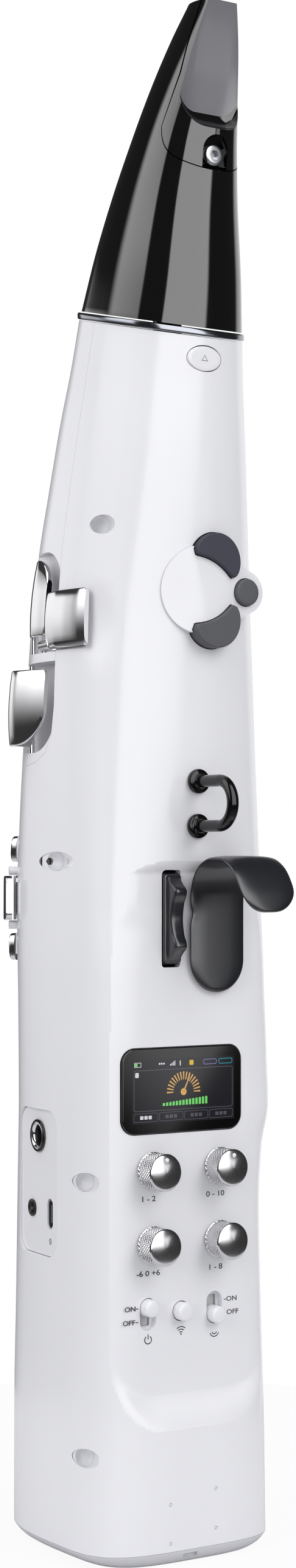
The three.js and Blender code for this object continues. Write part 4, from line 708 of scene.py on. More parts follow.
BAYS = {
    "upper": {
        "low": 311.4, "high": 346.6, "back": -8.0, "front": 18.0, "floor": 27.6, "round": 12.0, "top": True,
    },
    "lower": {
        "low": 276.8, "high": 308.2, "back": -8.0, "front": 23.4, "floor": 26.0, "round": 15.0, "top": False,
    },
}
PALMS = {
    "palm_key_high": {
        "low": 317.2, "high": 344.0, "lean": 3.0, "corner": 9.0, "bay": "upper", "barrel": (-32.2, 14.2),
        "plan": np.array([(-38, -1.0), (-38.5, 6), (-36.6, 11), (-33.8, 14)]),
    },
    "palm_key_middle": {
        "low": 312.0, "high": 332.0, "lean": 0.6, "corner": 1.6, "bay": "upper", "barrel": (-32.8, 6.4),
        "plan": np.array([
            (-37, -26.0), (-37.85, -22.6), (-38.45, -18.2), (-38.85, -13.6), (-39, -9.2), (-38.85, -8.0),
            (-37.7, -1.9),
        ]),
    },
    "palm_key_low": {
        "low": 279.4, "high": 305.6, "lean": 1.0, "corner": 12.6, "bay": "lower", "barrel": (-29.6, 19.8),
        "plan": np.array([(-38, -1.0), (-41.4, 6), (-42.9, 13), (-39.4, 18.8), (-30.6, 21)]),
    },
}


def plan_line(key):
    """A palm key's plan as a smooth curve over its own length."""
    table = by_length(key["plan"])
    return table[-1, 0], lambda s: hermite(table, s)


def palm_place(key):
    """Carries (along the plan, height, out) onto the paddle's outer face, leaning in with height."""
    length, line = plan_line(key)
    low, high, lean = key["low"], key["high"], key["lean"]

    def place(u, v, h):
        s = u + length / 2
        at, near = line(np.clip(s, 0, length)), np.clip(s, 0.4, length - 0.4)
        along = line(near + 0.4) - line(near - 0.4)
        along /= np.linalg.norm(along, axis=-1, keepdims=True)
        out = np.stack([-along[..., 1], along[..., 0]], -1)
        x = at[..., 0] + out[..., 0] * h + lean * (v - low) / (high - low)
        return np.stack([x, at[..., 1] + out[..., 1] * h, v], -1)

    return length, place


def bay_tool(bay, grow, out_to):
    """A palm key's bay with one round corner at its rear."""
    r, low, high = bay["round"] + grow, bay["low"] - grow, bay["high"] + grow
    back, front = bay["back"] - grow, bay["front"] + grow
    radii = (1, 1, r, 1) if bay["top"] else (1, 1, 1, r)
    outline = rounded(front - back, high - low, radii, (front + back) / 2, (low + high) / 2, 10)
    return slab(outline, -out_to, -bay["floor"] + grow, "x")


# The round keys' and lever keys' places

ROUND_KEYS = {
    "front_f_key": (-4.0, 349.0, 6.0), "b_key": (0.0, 331.0, 8.6), "bis_key": (7.4, 317.6, 4.2),
    "a_key": (0.0, 304.0, 8.6), "g_key": (0.0, 279.0, 8.6), "f_key": (0.0, 197.0, 8.6),
    "f_sharp_key": (9.4, 184.0, 4.2), "e_key": (0.0, 171.0, 8.6), "d_key": (0.0, 145.0, 8.6),
}
TABLE, SIDE, PINKY = 203.4, 246.0, 96.0
LEVERS = {
    "table_key_g_sharp": (TABLE + 35.4, 9.2, 112, 14, -1), "table_key_b": (TABLE + 14.8, 15.6, 112, 8, -1),
    "table_key_c_sharp": (TABLE + 14.8, 15.6, 133, 10, -1), "table_key_b_flat": (TABLE, 9.6, 112, 14, -1),
    "side_key_upper": (SIDE + 40, 14, 50, 8, 1), "side_key_middle": (SIDE + 20, 14, 50, 8, 1),
    "side_key_lower": (SIDE, 14, 50, 8, 1), "pinky_key_e_flat": (PINKY + 16, 12, 66, 18, 1),
    "pinky_key_c": (PINKY, 12, 66, 18, 1),
}
LIFT, THICK, BARREL = 2.5, 2.0, 1.3


def round_key_place(x, z):
    """The plane of a round key: its middle on the front and the surface's own normal there."""
    step = 9.6
    low, high = float(face_y(x, z - step, 1)), float(face_y(x, z + step, 1))
    side = float(face_y(x - WALL, z, 1) - face_y(x + WALL, z, 1))
    out = np.array([side / (2 * WALL), 1, (low - high) / (2 * step)])
    out /= np.linalg.norm(out)
    right = np.cross((0, 0, 1), out)
    right /= np.linalg.norm(right)
    return plane((x, float(face_y(x, z, 1)), z), right, np.cross(out, right), out)


def lever_frame(key):
    """A lever key's middle, its outward and sideways directions, and the two ends of its barrel."""
    low, length, around, width, hinge = key
    angle = math.radians(around)
    near = outline_at(BODY, low + length / 2, np.array([angle - 0.017, angle, angle + 0.017]), -0.001)
    across = near[2] - near[0]
    across[2] = 0
    across /= np.linalg.norm(across)
    out = np.array([across[1], -across[0], 0])
    z = np.array([low, low + length])
    foot = near[1] + across * width / 2 * hinge
    turn = np.arctan2(foot[1] - columns(BODY, z)[3], foot[0])
    ends = outline_at(BODY, z, turn, -0.001) + out * (GAP + BARREL)
    ends[:, 2] = z
    ends += (np.max(ends @ out) - ends @ out)[:, None] * out
    return near[1], across, out, ends


# The shells

def hollow_rings(rows):
    """Rings inside the wall; up to the ledge they stay behind the panel's floor."""
    rings = outline_at(BODY, rows[:, None], ANGLES, WALL)
    floor = np.where(rows[:, None] < LEDGE, BACK_Y, -200)
    rings[..., 1] = np.maximum(rings[..., 1], floor)
    rings[0, :, 2] -= 2
    rings[-1, :, 2] += 2
    return rings


ROWS = np.unique(np.concatenate([np.arange(FOOT, NECK, 4.0), [FOOT, NECK]]))


def outer_body(inset=0.0, rows=ROWS):
    """The housing's outer form over its rows, drawn in by an inset."""
    return solid("body", outline_at(BODY, rows[:, None], ANGLES, inset))


def housing():
    """The whole hollow housing, before it is parted."""
    return combine(outer_body(), [solid("hollow", hollow_rings(ROWS))])


def outside_of(name, face):
    """The body between a grid on the thumb side and a plane far outside it."""
    far = face[:, [-1, 0]] * [1, 0, 1] + [0, -70, 0]
    return solid(name, np.concatenate([face, far], 1))


def panel_tool():
    """What is cut away over the blended face: a grid over the panel closed far outside."""
    z = np.arange(46, 250, 1.2)[:, None]
    share = np.linspace(-0.9, 0.9, 91)
    left, right = columns(BODY, z)[:2]
    x = share * np.where(share < 0, left, right)
    return outside_of("panel", np.stack([x, sunk_face(x, z), z + 0 * x], -1))


def on_sunk_face(p):
    """Level function of the blended face, positive outside it."""
    return sunk_face(p[..., 0], p[..., 2]) - p[..., 1]


def on_body(p):
    """Level function of the housing."""
    return level(BODY, p)


def rear_shell():
    """The thumb half: its side of the seam, with the panel sunk, bosses inside, and every opening cut."""
    made = combine(housing(), [seam_side(-SEAM_GAP, False)], "INTERSECT")
    made = combine(made, [panel_tool()])
    bosses = [solid("boss", screw_bar(s, side, -2, 14.4, BOSS)) for side in (-1, 1) for s in SCREWS]
    lining = solid("lining", pad_grid(port_outline(1.5), [(0, -3.4), (0, 2)], PORT))
    inner = outer_body(WALL / 2, ROWS[::3])
    bosses = combine(combine(bosses[0], bosses[1:] + [lining], "UNION"), [inner], "INTERSECT")
    made = combine(made, [bosses], "UNION")
    d, r = DISPLAY, ROCKER
    seat = rounded(d["width"] + 2 * GAP, d["height"] + 2 * GAP, d["round"] + GAP, d["x"], d["z"])
    window = rounded(d["width"] * 0.86, d["height"] * 0.86, 1.0, d["x"], d["z"])
    slot = rounded(r["width"] + 2 * GAP, 2 * (r["swing"] + GAP), 1.2, r["x"], r["z"])
    tools = [slab(seat, OUTSIDE, -35.9), slab(window, OUTSIDE, THROUGH), slab(slot, OUTSIDE, THROUGH)]
    tools.append(bar((r["x"] - 7, r["pivot"], r["z"]), (r["x"] + 7, r["pivot"], r["z"]), 1.4, 24))
    tools += [slab(circle(3.3, x, z), OUTSIDE, THROUGH) for x, z in KNOBS.values()]
    tools.append(slab(circle(3.5, PAIR_X, SWITCH_Z), OUTSIDE, THROUGH))
    for x, _ in SWITCHES.values():
        tools.append(slab(rounded(6.5, 11.1, 3.2, x, SWITCH_Z, 14), OUTSIDE, -35.5))
        tools.append(slab(rounded(3.8, 8.4, 0.6, x, SWITCH_Z), OUTSIDE, THROUGH))
    tools += [slab(circle(0.6, x, z, 20), OUTSIDE, THROUGH) for x, z in PINHOLES]
    tools += [slab(circle(0.6, x, z, 20), OUTSIDE, -40) for x, z in PIN_DIMPLES]
    tools += [slab(octave_outline(side, GAP), PLATE_Y - 2, PLATE_Y + 7.6) for side in (1, -1)]
    tools.append(slab(circle(THUMB_HOLE, LUG_X, PLATE_Z), PLATE_Y - 2, PLATE_Y + 6.6))
    tools.append(solid("oval", neck_place()(*oval_rows(GAP, -6, 2.3))))
    tools += [bar((0, OUTSIDE, RING_Z + e), (0, -32.7, RING_Z + e), 2.35, 40) for e in (-LEG, LEG)]
    tools += [solid("screw", screw_bar(s, side, -15, 12, RECESS)) for side in (-1, 1) for s in SCREWS]
    tools.append(port_slab(port_outline(0.2), 1.9, 8))
    tools += port_holes(GAP, 25, 2)
    length, place = palm_place(PALMS["palm_key_middle"])
    swing = rounded(length + 2 * GAP, 20.6, 1.0, GAP, 322.0)
    tools.append(solid("swing", pad_grid(swing, [(0, -3.5), (0, 0)], place)))
    return cut(made, tools)


def oval_rows(grow, low, high):
    """The neck button's ellipse at two heights, as (across, up, out) arrays."""
    ring = circle(1, 0, 0, 64) * [OVAL_ACROSS + grow, OVAL_UP + grow]
    flat = np.stack([ring, ring])
    return flat[..., 0], flat[..., 1], np.broadcast_to(np.array([low, high])[:, None], flat.shape[:2])


def front_shell():
    """The main-key half: its side of the seam, with lined bays, posts for the levers, and key wells."""
    made = combine(housing(), [seam_side(SEAM_GAP, True)], "INTERSECT")
    lining = [bay_tool(bay, 1.5, 40) for bay in BAYS.values()]
    inner = combine(outer_body(WALL / 2, ROWS[::3]), [seam_side(GAP / 2, True)], "INTERSECT")
    lining = combine(combine(lining[0], lining[1:], "UNION"), [inner], "INTERSECT")
    made = combine(made, [lining], "UNION")
    posts = []
    for key in LEVERS.values():
        _, _, out, ends = lever_frame(key)
        ends[:, 2] += np.array([-1, 1]) * (GAP + 1.5)
        posts += [bar_grid(end - out * 3.8, end + out * BARREL, 1.5, 24) for end in ends]
    made = combine(made, [solid("post", post) for post in posts], "UNION")
    tools = [bay_tool(bay, 0, 76) for bay in BAYS.values()]
    for x, z, radius in ROUND_KEYS.values():
        well = turned_grid([(radius + GAP, -9), (radius + GAP, 4.6)], round_key_place(x, z))
        tools.append(solid("well", well))
    return cut(made, tools)


both = (on_body, on_sunk_face)
piece(rear_shell(), "rear_moulding", WHITE, replaces="rear_shell", slot="white", surfaces=both)
piece(front_shell(), "front_moulding", WHITE, replaces="front_shell", slot="white", surfaces=(on_body,))

# The foot and the neck ring


def foot_rim(z, inset):
    """A ring inside the foot's wall, kept clear of the panel's back."""
    ring = outline_at(BODY, FOOT, ANGLES, inset)
    ring[:, 1] = np.maximum(ring[:, 1], BACK_Y + inset - WALL)
    ring[:, 2] = z
    return ring


def foot_cap():
    """The cap under the housing: its bottom section drawn in to the base, a rim inside, a slot behind."""
    rows = np.array([
        (0, 1), (0.25, 0.83), (0.7, 0.66), (1.26, 0.5), (2.0, 0.33), (2.8, 0.2), (3.6, 0.1), (4.2, 0.03),
        (4.7, 0),
    ])
    base = outline_at(BODY, FOOT, ANGLES, 0.001)
    share = rows[:, 1, None]
    x = base[:, 0] * (1 - 7.0 / 38 * share)
    toward = np.where(base[:, 1] > -12, -3.6 / 56, -3.6 / 29)
    y = -12 + (base[:, 1] + 12) * (1 + toward * share)
    z = np.broadcast_to(rows[:, :1], x.shape)
    made = solid("cap", np.stack([x, y, z], -1))
    rim = solid("rim", np.stack([foot_rim(4.2, WALL + GAP), foot_rim(9.5, WALL + GAP)]))
    inside = solid("inside", np.stack([foot_rim(4.5, WALL + GAP + 2), foot_rim(10, WALL + GAP + 2)]))
    made = cut(combine(made, [rim], "UNION"), [inside])
    return cut(made, [slab(rounded(6, 1.5, 0.6, -3, 2.75), OUTSIDE, -39.2)])


piece(foot_cap(), "foot_cap", CAP_WHITE, replaces="bottom_cap", slot="cap_white")


def neck_ring():
    """The leaning metal ring: the neck's section swelling to a rounded rim, with a hole for the spigot."""
    rows = np.array([
        (0.3, 0.1), (0.36, -0.3), (0.6, -0.5), (1.0, -0.6), (2.0, -0.6), (2.4, -0.5), (2.64, -0.3),
        (2.7, 0.1),
    ])
    grid = outline_at(BODY, np.full((len(rows), 1), NECK), ANGLES, rows[:, 1:])
    grid[..., 2] += rows[:, :1]
    return cut(solid("ring", grid), [bar((0, SPIGOT_Y, 400), (0, SPIGOT_Y, 450), SPIGOT_RADIUS + GAP)])


piece(neck_ring(), "neck_ring_rim", NECK_METAL, replaces="neck_ring", slot="chrome", angle=50)

# The mouthpiece


def reed_side(grow):
    """Everything on the reed's side of the split, seen from the side: a slanting line and a round heel."""
    t = np.linspace(0, 1, 14)[:, None]
    back, heel = GAP * grow - 41.0, 478.6 - 0.42 * grow
    p0, p1, p2 = np.array([back, 488.0]), np.array([back + 0.1, heel + 1.4]), np.array([-47.0, heel - 2.8])
    curve = (1 - t) ** 2 * p0 + 2 * t * (1 - t) * p1 + t**2 * p2
    top = [(-70, 535), (0.8 * grow - 53.39, 535), (0.605 * grow - 47.2, 505.0)]
    return np.concatenate([top, curve, [(-70, heel - 18.9)]])


def face_cut():
    """What the reed face takes off: a leaning plane with a quarter ellipse below, sooner at its sides."""
    x = np.linspace(-21, 21, 85)[:, None]
    foot = REED["foot"] + np.minimum(6 * np.abs(x / 12.5) ** 4, 16)
    t = np.linspace(0.06, 1, 20) * np.pi / 2
    lean = (TIP - foot) * REED["lean"] - REED["face"]
    y = np.concatenate([lean, lean - REED["runout"] * (1 - np.cos(t))], 1)
    z = np.concatenate([foot, foot - REED["drop"] * np.sin(t)], 1)
    top = (TIP - 535) * REED["lean"] - REED["face"] + 0 * x
    y = np.concatenate([-90 + 0 * x, top, y, -90 + 0 * x], 1)
    z = np.concatenate([535 + 0 * x, 535 + 0 * x, z, z[:, -1:]], 1)
    return solid("face", np.stack([x + 0 * y, y, z], -1))


def mouth_blank():
    """The beak before it is split, with its flat reed face."""
    rows = np.linspace(MOUTH_FOOT, TIP, 60)[:, None]
    return combine(solid("mouth", outline_at(MOUTH, rows, ANGLES)), [face_cut()])


def on_mouth(p):
    """Level function of the beak."""
    return level(MOUTH, p)


def screw_hole():
    """The bore of the reed screw."""
    return bar((0, -50.2, REED_SCREW_Z), (0, -38.9, REED_SCREW_Z), 2.1, 32)


def mouth_body():
    """The beak's main body with its spigot and its bent air passage."""
    made = combine(mouth_blank(), [slab(reed_side(1), -40, 40, "x")])
    low, high, wide, tip = 415, 437, 2.2, 1.1
    made = combine(made, [bar((0, SPIGOT_Y, low), (0, SPIGOT_Y, high), SPIGOT_RADIUS)], "UNION")
    bore = bar((0, SPIGOT_Y, low - 2), (0, SPIGOT_Y, high), wide)
    bore = combine(bore, [bar((0, SPIGOT_Y, high - wide), (0, -46.4, 531.5), wide, 48, tip)], "UNION")
    return cut(made, [bore, screw_hole()])


def reed_module():
    """The reed's side of the beak, with an arched bay for its screw."""
    made = combine(mouth_blank(), [slab(reed_side(0), -40, 40, "x")], "INTERSECT")
    t = np.linspace(0, np.pi, 24)
    arch = np.stack([5 * np.cos(t), 479.6 + 5 * np.sin(t)], -1)
    bay = slab(np.concatenate([[(-5, 455), (5, 455)], arch]), -62, -48.2)
    return cut(made, [bay, screw_hole()])


beak = {"slot": "black_gloss", "surfaces": (on_mouth,)}
piece(mouth_body(), "mouthpiece_moulding", BLACK_GLOSS, replaces="mouthpiece_body", **beak)
piece(reed_module(), "reed_module", BLACK_GLOSS, body="reed_lever", replaces="reed_lever", **beak)


def reed_screw():
    """A screw with a rounded head and a six-sided socket."""
    head = [
        (1.7, -1), (1.7, 0), (3.2, 0), (3.5, 0.2), (3.6, 0.5), (3.6, 1.5), (3.45, 1.85), (3.1, 2.1),
        (2.6, 2.2), (0.2, 2.2),
    ]
    made = solid("head", turned_grid(head, thumb_plane(-48.5), 0, REED_SCREW_Z))
    made = combine(made, [bar((0, -49, REED_SCREW_Z), (0, -39.2, REED_SCREW_Z), 1.8, 32)], "UNION")
    return combine(made, [slab(circle(1.75, 0, REED_SCREW_Z, 6), OUTSIDE, -49.1)])


piece(reed_screw(), "reed_socket_screw", STEEL, replaces="reed_screw", slot="steel", angle=40)

# The display

d = DISPLAY
pane = rounded(d["width"], d["height"], d["round"], d["x"], d["z"], 12)
pane = pad_grid(pane, [(0.1, -1.3), (0, -1.1)] + soft_edge(0.35, 0.3), ON_FLOOR)
piece(solid("glass", pane), "display_front", GLASS, replaces="display_glass", slot="glass")


def bands(name, parts, y, thick=0.04):
    """Frame lines: a closed loop of an outline and itself drawn in by the line's width, at two depths."""
    grids = []
    for outer, width in parts:
        inner = drawn_in(outer, width)
        rows = [(outer, y), (outer, y - thick), (inner, y - thick), (inner, y)]
        grids.append(np.stack([np.stack([r[:, 0], np.full(len(r), h), r[:, 1]], -1) for r, h in rows]))
    return solids(name, grids, looped=True)


def decals(name, outlines, y, thick=0.04):
    """Thin flat shapes with their backs at y."""
    return solids(name, [slab_grid(o, y - thick, y) for o in outlines])


def box_outline(x0, x1, z0, z1, r=0.2):
    """A rounded rectangle between its sides."""
    return rounded(x1 - x0, z1 - z0, r, (x0 + x1) / 2, (z0 + z1) / 2, 4)


SCREEN_Y = d["front"] + 0.01
PICTURE_Y = SCREEN_Y - 0.02
GOLD, GREEN, PALE, VIOLET, TEAL, GREY, DEEP, YELLOW = (
    lit("screen_" + name, color, 0.9)
    for name, color in (
        ("gold", (0.75, 0.42, 0.12)), ("green", (0.18, 0.75, 0.16)), ("pale", (0.75, 0.76, 0.8)),
        ("violet", (0.2, 0.17, 0.45)), ("teal", (0.02, 0.3, 0.36)), ("grey", (0.09, 0.09, 0.115)),
        ("deep", (0.011, 0.011, 0.015)), ("yellow", (0.75, 0.5, 0.02)),
    )
)

# The screen picture: its field, a frame over four tabs, and a row of badges along the top.
LEFT, RIGHT_END, BOTTOM, TOP = -25.1, 17.2, 150.2, 171.9
piece(decals("deep", [box_outline(LEFT, RIGHT_END, BOTTOM, TOP, 0.4)], SCREEN_Y, 0.03), "screen_field", DEEP)
tab = (RIGHT_END - LEFT - 2.9) / 4
tab_lefts = [LEFT + 0.7 + i * (tab + 0.5) for i in range(4)]
frames = [(box_outline(LEFT + 0.7, RIGHT_END - 0.7, 154.4, 168.4, 0.7), 0.22)]
frames += [(box_outline(x, x + tab, 150.8, 153.8, 0.5), 0.18) for x in tab_lefts]
piece(bands("frames", frames, PICTURE_Y), "screen_frames", GREY)
for name, sides, width, finish in (
    ("badge_violet", (4.2, 9.8, 169.3, 171.2, 0.7), 0.25, VIOLET),
    ("badge_teal", (10.6, 16.4, 169.3, 171.2, 0.7), 0.25, TEAL),
    ("battery", (-24.2, -21.4, 169.4, 171.0, 0.2), 0.18, PALE),
):
    piece(bands(name, [(box_outline(*sides), width)], PICTURE_Y), "screen_" + name, finish)
for name, sides, finish in (
    ("charge", (-23.9, -22.9, 169.7, 170.7, 0.1), GREEN),
    ("badge_yellow", (-1.6, 0.1, 169.4, 171.1, 0.3), YELLOW),
):
    piece(decals(name, [box_outline(*sides)], PICTURE_Y), "screen_" + name, finish)


def fan(cx, cz, low, high, count, turn0, turn1):
    """Blades of a dial fan: short spokes between two radii."""
    t = np.radians(np.linspace(turn0, turn1, count))[:, None, None]
    r = np.array([low, high, high, low])[None, :, None]
    w = np.array([-0.17, -0.28, 0.28, 0.17])[None, :, None]
    x = cx + r * np.cos(t) - w * np.sin(t)
    z = cz + r * np.sin(t) + w * np.cos(t)
    return list(np.concatenate([x, z], -1))


DIAL = (-4, 160.4)
dial = fan(*DIAL, 4.2, 6.9, 17, 0, 180) + [circle(1.2, *DIAL, 24)]
needle = np.array([(-4.35, 160.4), (-3.65, 160.4), (-1.35, 165.6), (-1.6, 165.7)])
piece(decals("dial", dial + [needle], PICTURE_Y), "screen_dial", GOLD)
steps = [box_outline(-12.6 + i * 1.35, -11.7 + i * 1.35, 155.9, 156.9 + 0.12 * i, 0.15) for i in range(14)]
piece(decals("steps", steps, PICTURE_Y), "screen_level", GREEN)
starts = [[x + 2.6 + k * 1.7 for k in range(3)] for x in tab_lefts]
blocks = [[box_outline(x, x + 1.3, 151.7, 152.9, 0.15) for x in row] for row in starts]
icons = blocks[0]
icons += [circle(0.35, -13.9 + i * 0.9, 170.3, 12) for i in range(3)]
icons += [box_outline(-9.6 + i * 0.6, -9.25 + i * 0.6, 169.5, 170.1 + 0.35 * i, 0.05) for i in range(4)]
icons += [box_outline(-5.6, -5.2, 169.4, 171.1, 0.1), box_outline(-23.8, -22.4, 165.9, 167.6, 0.3)]
piece(decals("icons", icons, PICTURE_Y), "screen_icons", PALE)
piece(decals("soft", blocks[1] + blocks[2] + blocks[3], PICTURE_Y), "screen_icons_dim", GREY)

# Knobs


def tri(t):
    """A triangle wave between 0 and 1."""
    return np.abs(2 * (t - np.floor(t)) - 1)


def knob(x, z):
    """A turned knob: a flange, a band of crossed V grooves whose depth is the deeper of two, a domed face."""
    sides, teeth, wide, start, stop = 240, 30, 6.4, 0.9, 8.0
    high = np.linspace(start, stop, 34)
    t = np.arange(sides) / sides
    lead = high[:, None] / (2 * np.pi * wide) * teeth
    groove = np.maximum(tri(t * teeth + lead), tri(t * teeth - lead))
    ease = np.minimum(1, np.minimum(high - start, stop - high) / 0.25)[:, None]
    band = wide - 0.5 * groove * ease
    foot = np.array([(3.4, 0.4), (5.9, 0.4), (6.1, 0.5), (6.1, 0.8)])
    dome = np.array([
        (6.33, 8.1), (6.2, 8.4), (5.9, 8.55), (5.2, 8.68), (4.2, 8.82), (3.0, 8.94), (1.6, 9.04), (0.3, 9.1),
    ])
    radius = [np.broadcast_to(foot[:, :1], (4, sides)), band, np.broadcast_to(dome[:, :1], (8, sides))]
    radius = np.concatenate(radius)
    rise = np.concatenate([foot[:, 1], high, dome[:, 1]])[:, None] + 0 * radius
    u, v = x + radius * np.cos(t * 2 * np.pi), z + radius * np.sin(t * 2 * np.pi)
    made = solid("knob", ON_FLOOR(u, v, rise))
    return combine(made, [bar((x, -38.2, z), (x, -34.9, z), 3, 32)], "UNION")


DOT_ROWS = [(0.75, 8.5), (0.75, 8.88), (0.6, 8.95), (0.1, 8.98)]
for name, (x, z) in KNOBS.items():
    moving(knob(x, z), name, "_knurled", TURNED, angle=50)
    if "upper" in name:
        mark = solid("mark", turned_grid(DOT_ROWS, ON_FLOOR, x + 0.2, z + 4.3, 24))
        piece(mark, name + "_dot", WHITE, body=name)

# Switches and the pairing button

CAP_ROWS = [
    (2.6, -1.7), (3.0, -1.5), (3.0, 2.5), (2.93, 2.85), (2.75, 3.1), (2.4, 3.28), (1.8, 3.36), (0.2, 3.4),
]
for name, (x, end) in SWITCHES.items():
    z = SWITCH_Z + end * 2.3
    made = solid("cap", turned_grid(CAP_ROWS, ON_FLOOR, x, z))
    made = combine(made, [slab(rounded(3.2, 3.2, 0.4, x, z), -36.2, -34.9)], "UNION")
    moving(made, name, "_cap", WHITE, "white")
rows = [(3.2, -1.6), (3.2, 2.7), (3.1, 3.1), (2.85, 3.4), (2.5, 3.54), (1.8, 3.58), (0.2, 3.6)]
made = solid("pair", turned_grid(rows, ON_FLOOR, PAIR_X, SWITCH_Z))
stem = [
    bar((PAIR_X, y, SWITCH_Z), (PAIR_X, -33.6, SWITCH_Z), radius)
    for y, radius in ((-36, 3.2), (-34.6, 4.2))
]
made = combine(made, stem, "UNION")
piece(made, "pairing_cap", WHITE, body="pairing_button", replaces="pairing_button", slot="white")

# The thumb hook


def thumb_hook():
    """A pressed strip: a rounded section carried along the side view, as wide as its plan allows."""
    across, tip_round, middle_x = 11.1, 9.0, 9.1
    rise, reach, foot = 47.0, 33.2, 194.0
    middle = np.array([
        (0.036, 0.0), (0.036, 0.30), (0.036, 0.6), (0.042, 0.72), (0.066, 0.80), (0.122, 0.874),
        (0.226, 0.94), (0.378, 0.974), (0.5605, 0.972), (0.74, 0.918), (0.87, 0.81), (0.94, 0.70),
        (0.961, 0.596),
    ]) * [reach, rise]
    curve = by_length(middle)
    total = curve[-1, 0]
    ends = 1 - np.cos(np.linspace(0, np.pi / 2, 14))
    s = np.linspace(across, total - tip_round, 60)
    s = np.unique(np.concatenate([ends * across, s, total - ends * tip_round]))
    s = np.clip(s, 0.02, total - 0.02)
    at = hermite(curve, s)
    step = hermite(curve, s + 0.01) - hermite(curve, s - 0.01)
    step /= np.linalg.norm(step, axis=1, keepdims=True)
    out = np.stack([step[:, 1], -step[:, 0]], -1)
    right = across - np.maximum(rounding(across, s), rounding(tip_round, total - s))
    left = right - 0.9 * np.exp(-(((s - 27.0) / 2.2) ** 2))
    t = np.arange(56) / 56 * 2 * np.pi
    c, n = np.cos(t), np.sin(t)
    wide = np.sign(c) * np.abs(c) ** 0.42
    tall = 1.2 * np.sign(n) * np.abs(n) ** 0.75 * (1 - 0.35 * np.abs(c))
    x = middle_x + np.where(wide > 0, right[:, None], left[:, None]) * wide
    shrink = np.minimum(1, np.maximum(right, 0.02) / 5)[:, None] ** 0.5
    h = tall * shrink
    y = -37.8 - (at[:, :1] + out[:, :1] * h)
    z = foot + at[:, 1:] + out[:, 1:] * h
    return solid("hook", np.stack([x, y, z], -1))


piece(thumb_hook(), "thumb_rest_hook", SATIN, replaces="thumb_hook", slot="satin", angle=60)

# The pitch rocker


def rocker():
    """A base plate with a saddle: rows along the length, each a rounded arch as high as the side view."""
    r = ROCKER
    base = rounded(r["width"], r["length"], 1.3, r["x"], r["z"])
    made = solid("base", pad_grid(base, [(0, -0.6), (0, 0.4)] + soft_edge(0.5, 1.3), ON_FLOOR))
    half = r["length"] / 2
    side = np.array([
        (0, 3.5), (0.35, 4.5), (0.56, 6.2), (0.62, 6.3), (0.68, 5.6), (0.78, 3.6), (0.9, 1.7), (0.97, 0.9),
    ])
    side = np.concatenate([side[:0:-1] * [-1, 1], side])
    v = np.linspace(-0.97, 0.97, 70)
    high = hermite(side, v)[:, 0]
    t = np.linspace(0, np.pi, 22)
    wide, power = 2.75, 0.42
    x = r["x"] + 0.45 + wide * np.sign(np.cos(t)) * np.abs(np.cos(t)) ** power
    lift = np.sin(t) ** power
    y = FLOOR_Y - 0.2 - (high[:, None] - 0.2) * lift
    z = r["z"] + (v * half)[:, None]
    grid = np.stack([x + 0 * y, y, z + 0 * y], -1)
    made = combine(made, [solid("saddle", grid)], "UNION")
    y = np.array([-30.9, -33.3, -36.0, -37.4])
    reach = np.array([3.8, 16.05, 15.7, 15.2])
    keel = np.concatenate([np.stack([y, r["z"] - reach], -1), np.stack([y, r["z"] + reach], -1)[::-1]])
    lower = slab(keel, r["x"] - 3.5, r["x"] + 3.5, "x")
    axle = bar((r["x"] - 5.3, r["pivot"], r["z"]), (r["x"] + 5.3, r["pivot"], r["z"]), 1.1, 24)
    return combine(made, [lower, axle], "UNION")


piece(rocker(), "rocker_saddle", SATIN, body="pitch_rocker", replaces="pitch_rocker", slot="satin", angle=45)

# The strap ring

COLLAR_ROWS = [
    (4.2, 0), (4.2, 0.9), (4.1, 1.25), (3.8, 1.5), (3.3, 1.6), (2.75, 1.7), (2.5, 2.0), (2.35, 2.4), (1, 2.4),
]


def strap_ring():
    """A round wire along two straight legs and a half circle, through two stepped collars."""
    face = float(face_y(0.0, RING_Z))
    bend = face - 21 + LEG
    t = np.linspace(0, np.pi, 40)
    path = np.concatenate([
        [(face + 6, RING_Z - LEG), (face, RING_Z - LEG), (bend + 1, RING_Z - LEG)],
        np.stack([bend - LEG * np.sin(t), RING_Z - LEG * np.cos(t)], -1),
        [(bend + 1, RING_Z + LEG), (face, RING_Z + LEG), (face + 6, RING_Z + LEG)],
    ])
    along = np.gradient(path, axis=0)
    along /= np.linalg.norm(along, axis=1, keepdims=True)
    ring = circle(2.05, 0, 0, 28)
    side = np.stack([-along[:, 1], along[:, 0]], -1)
    y = path[:, :1] + side[:, :1] * ring[:, 1]
    z = path[:, 1:] + side[:, 1:] * ring[:, 1]
    made = solid("wire", np.stack([np.broadcast_to(ring[:, 0], y.shape), y, z], -1))
    collars = []
    for end in (-LEG, LEG):
        at = RING_Z + end
        seat = min(float(face_y(0.0, at - 4.2)), float(face_y(0.0, at + 4.2))) - GAP
        collars.append(solid("collar", turned_grid(COLLAR_ROWS, thumb_plane(seat), 0, at, 56)))
    return combine(made, collars, "UNION")


piece(strap_ring(), "strap_ring_wire", RING_BLACK, replaces="strap_ring", slot="black_gloss", angle=50)

# The thumb plate and its buttons


def plate_outline():
    """A disc and a smaller lug joined by their common tangents."""
    big, small = 15.2, 7.3
    turn = math.acos((big - small) / LUG_X)
    a, b = np.linspace(turn, 2 * np.pi - turn, 70), np.linspace(-turn, turn, 34)
    disc = np.stack([big * np.cos(a), PLATE_Z + big * np.sin(a)], -1)
    lug = np.stack([LUG_X + small * np.cos(b), PLATE_Z + small * np.sin(b)], -1)
    return np.concatenate([disc, lug])


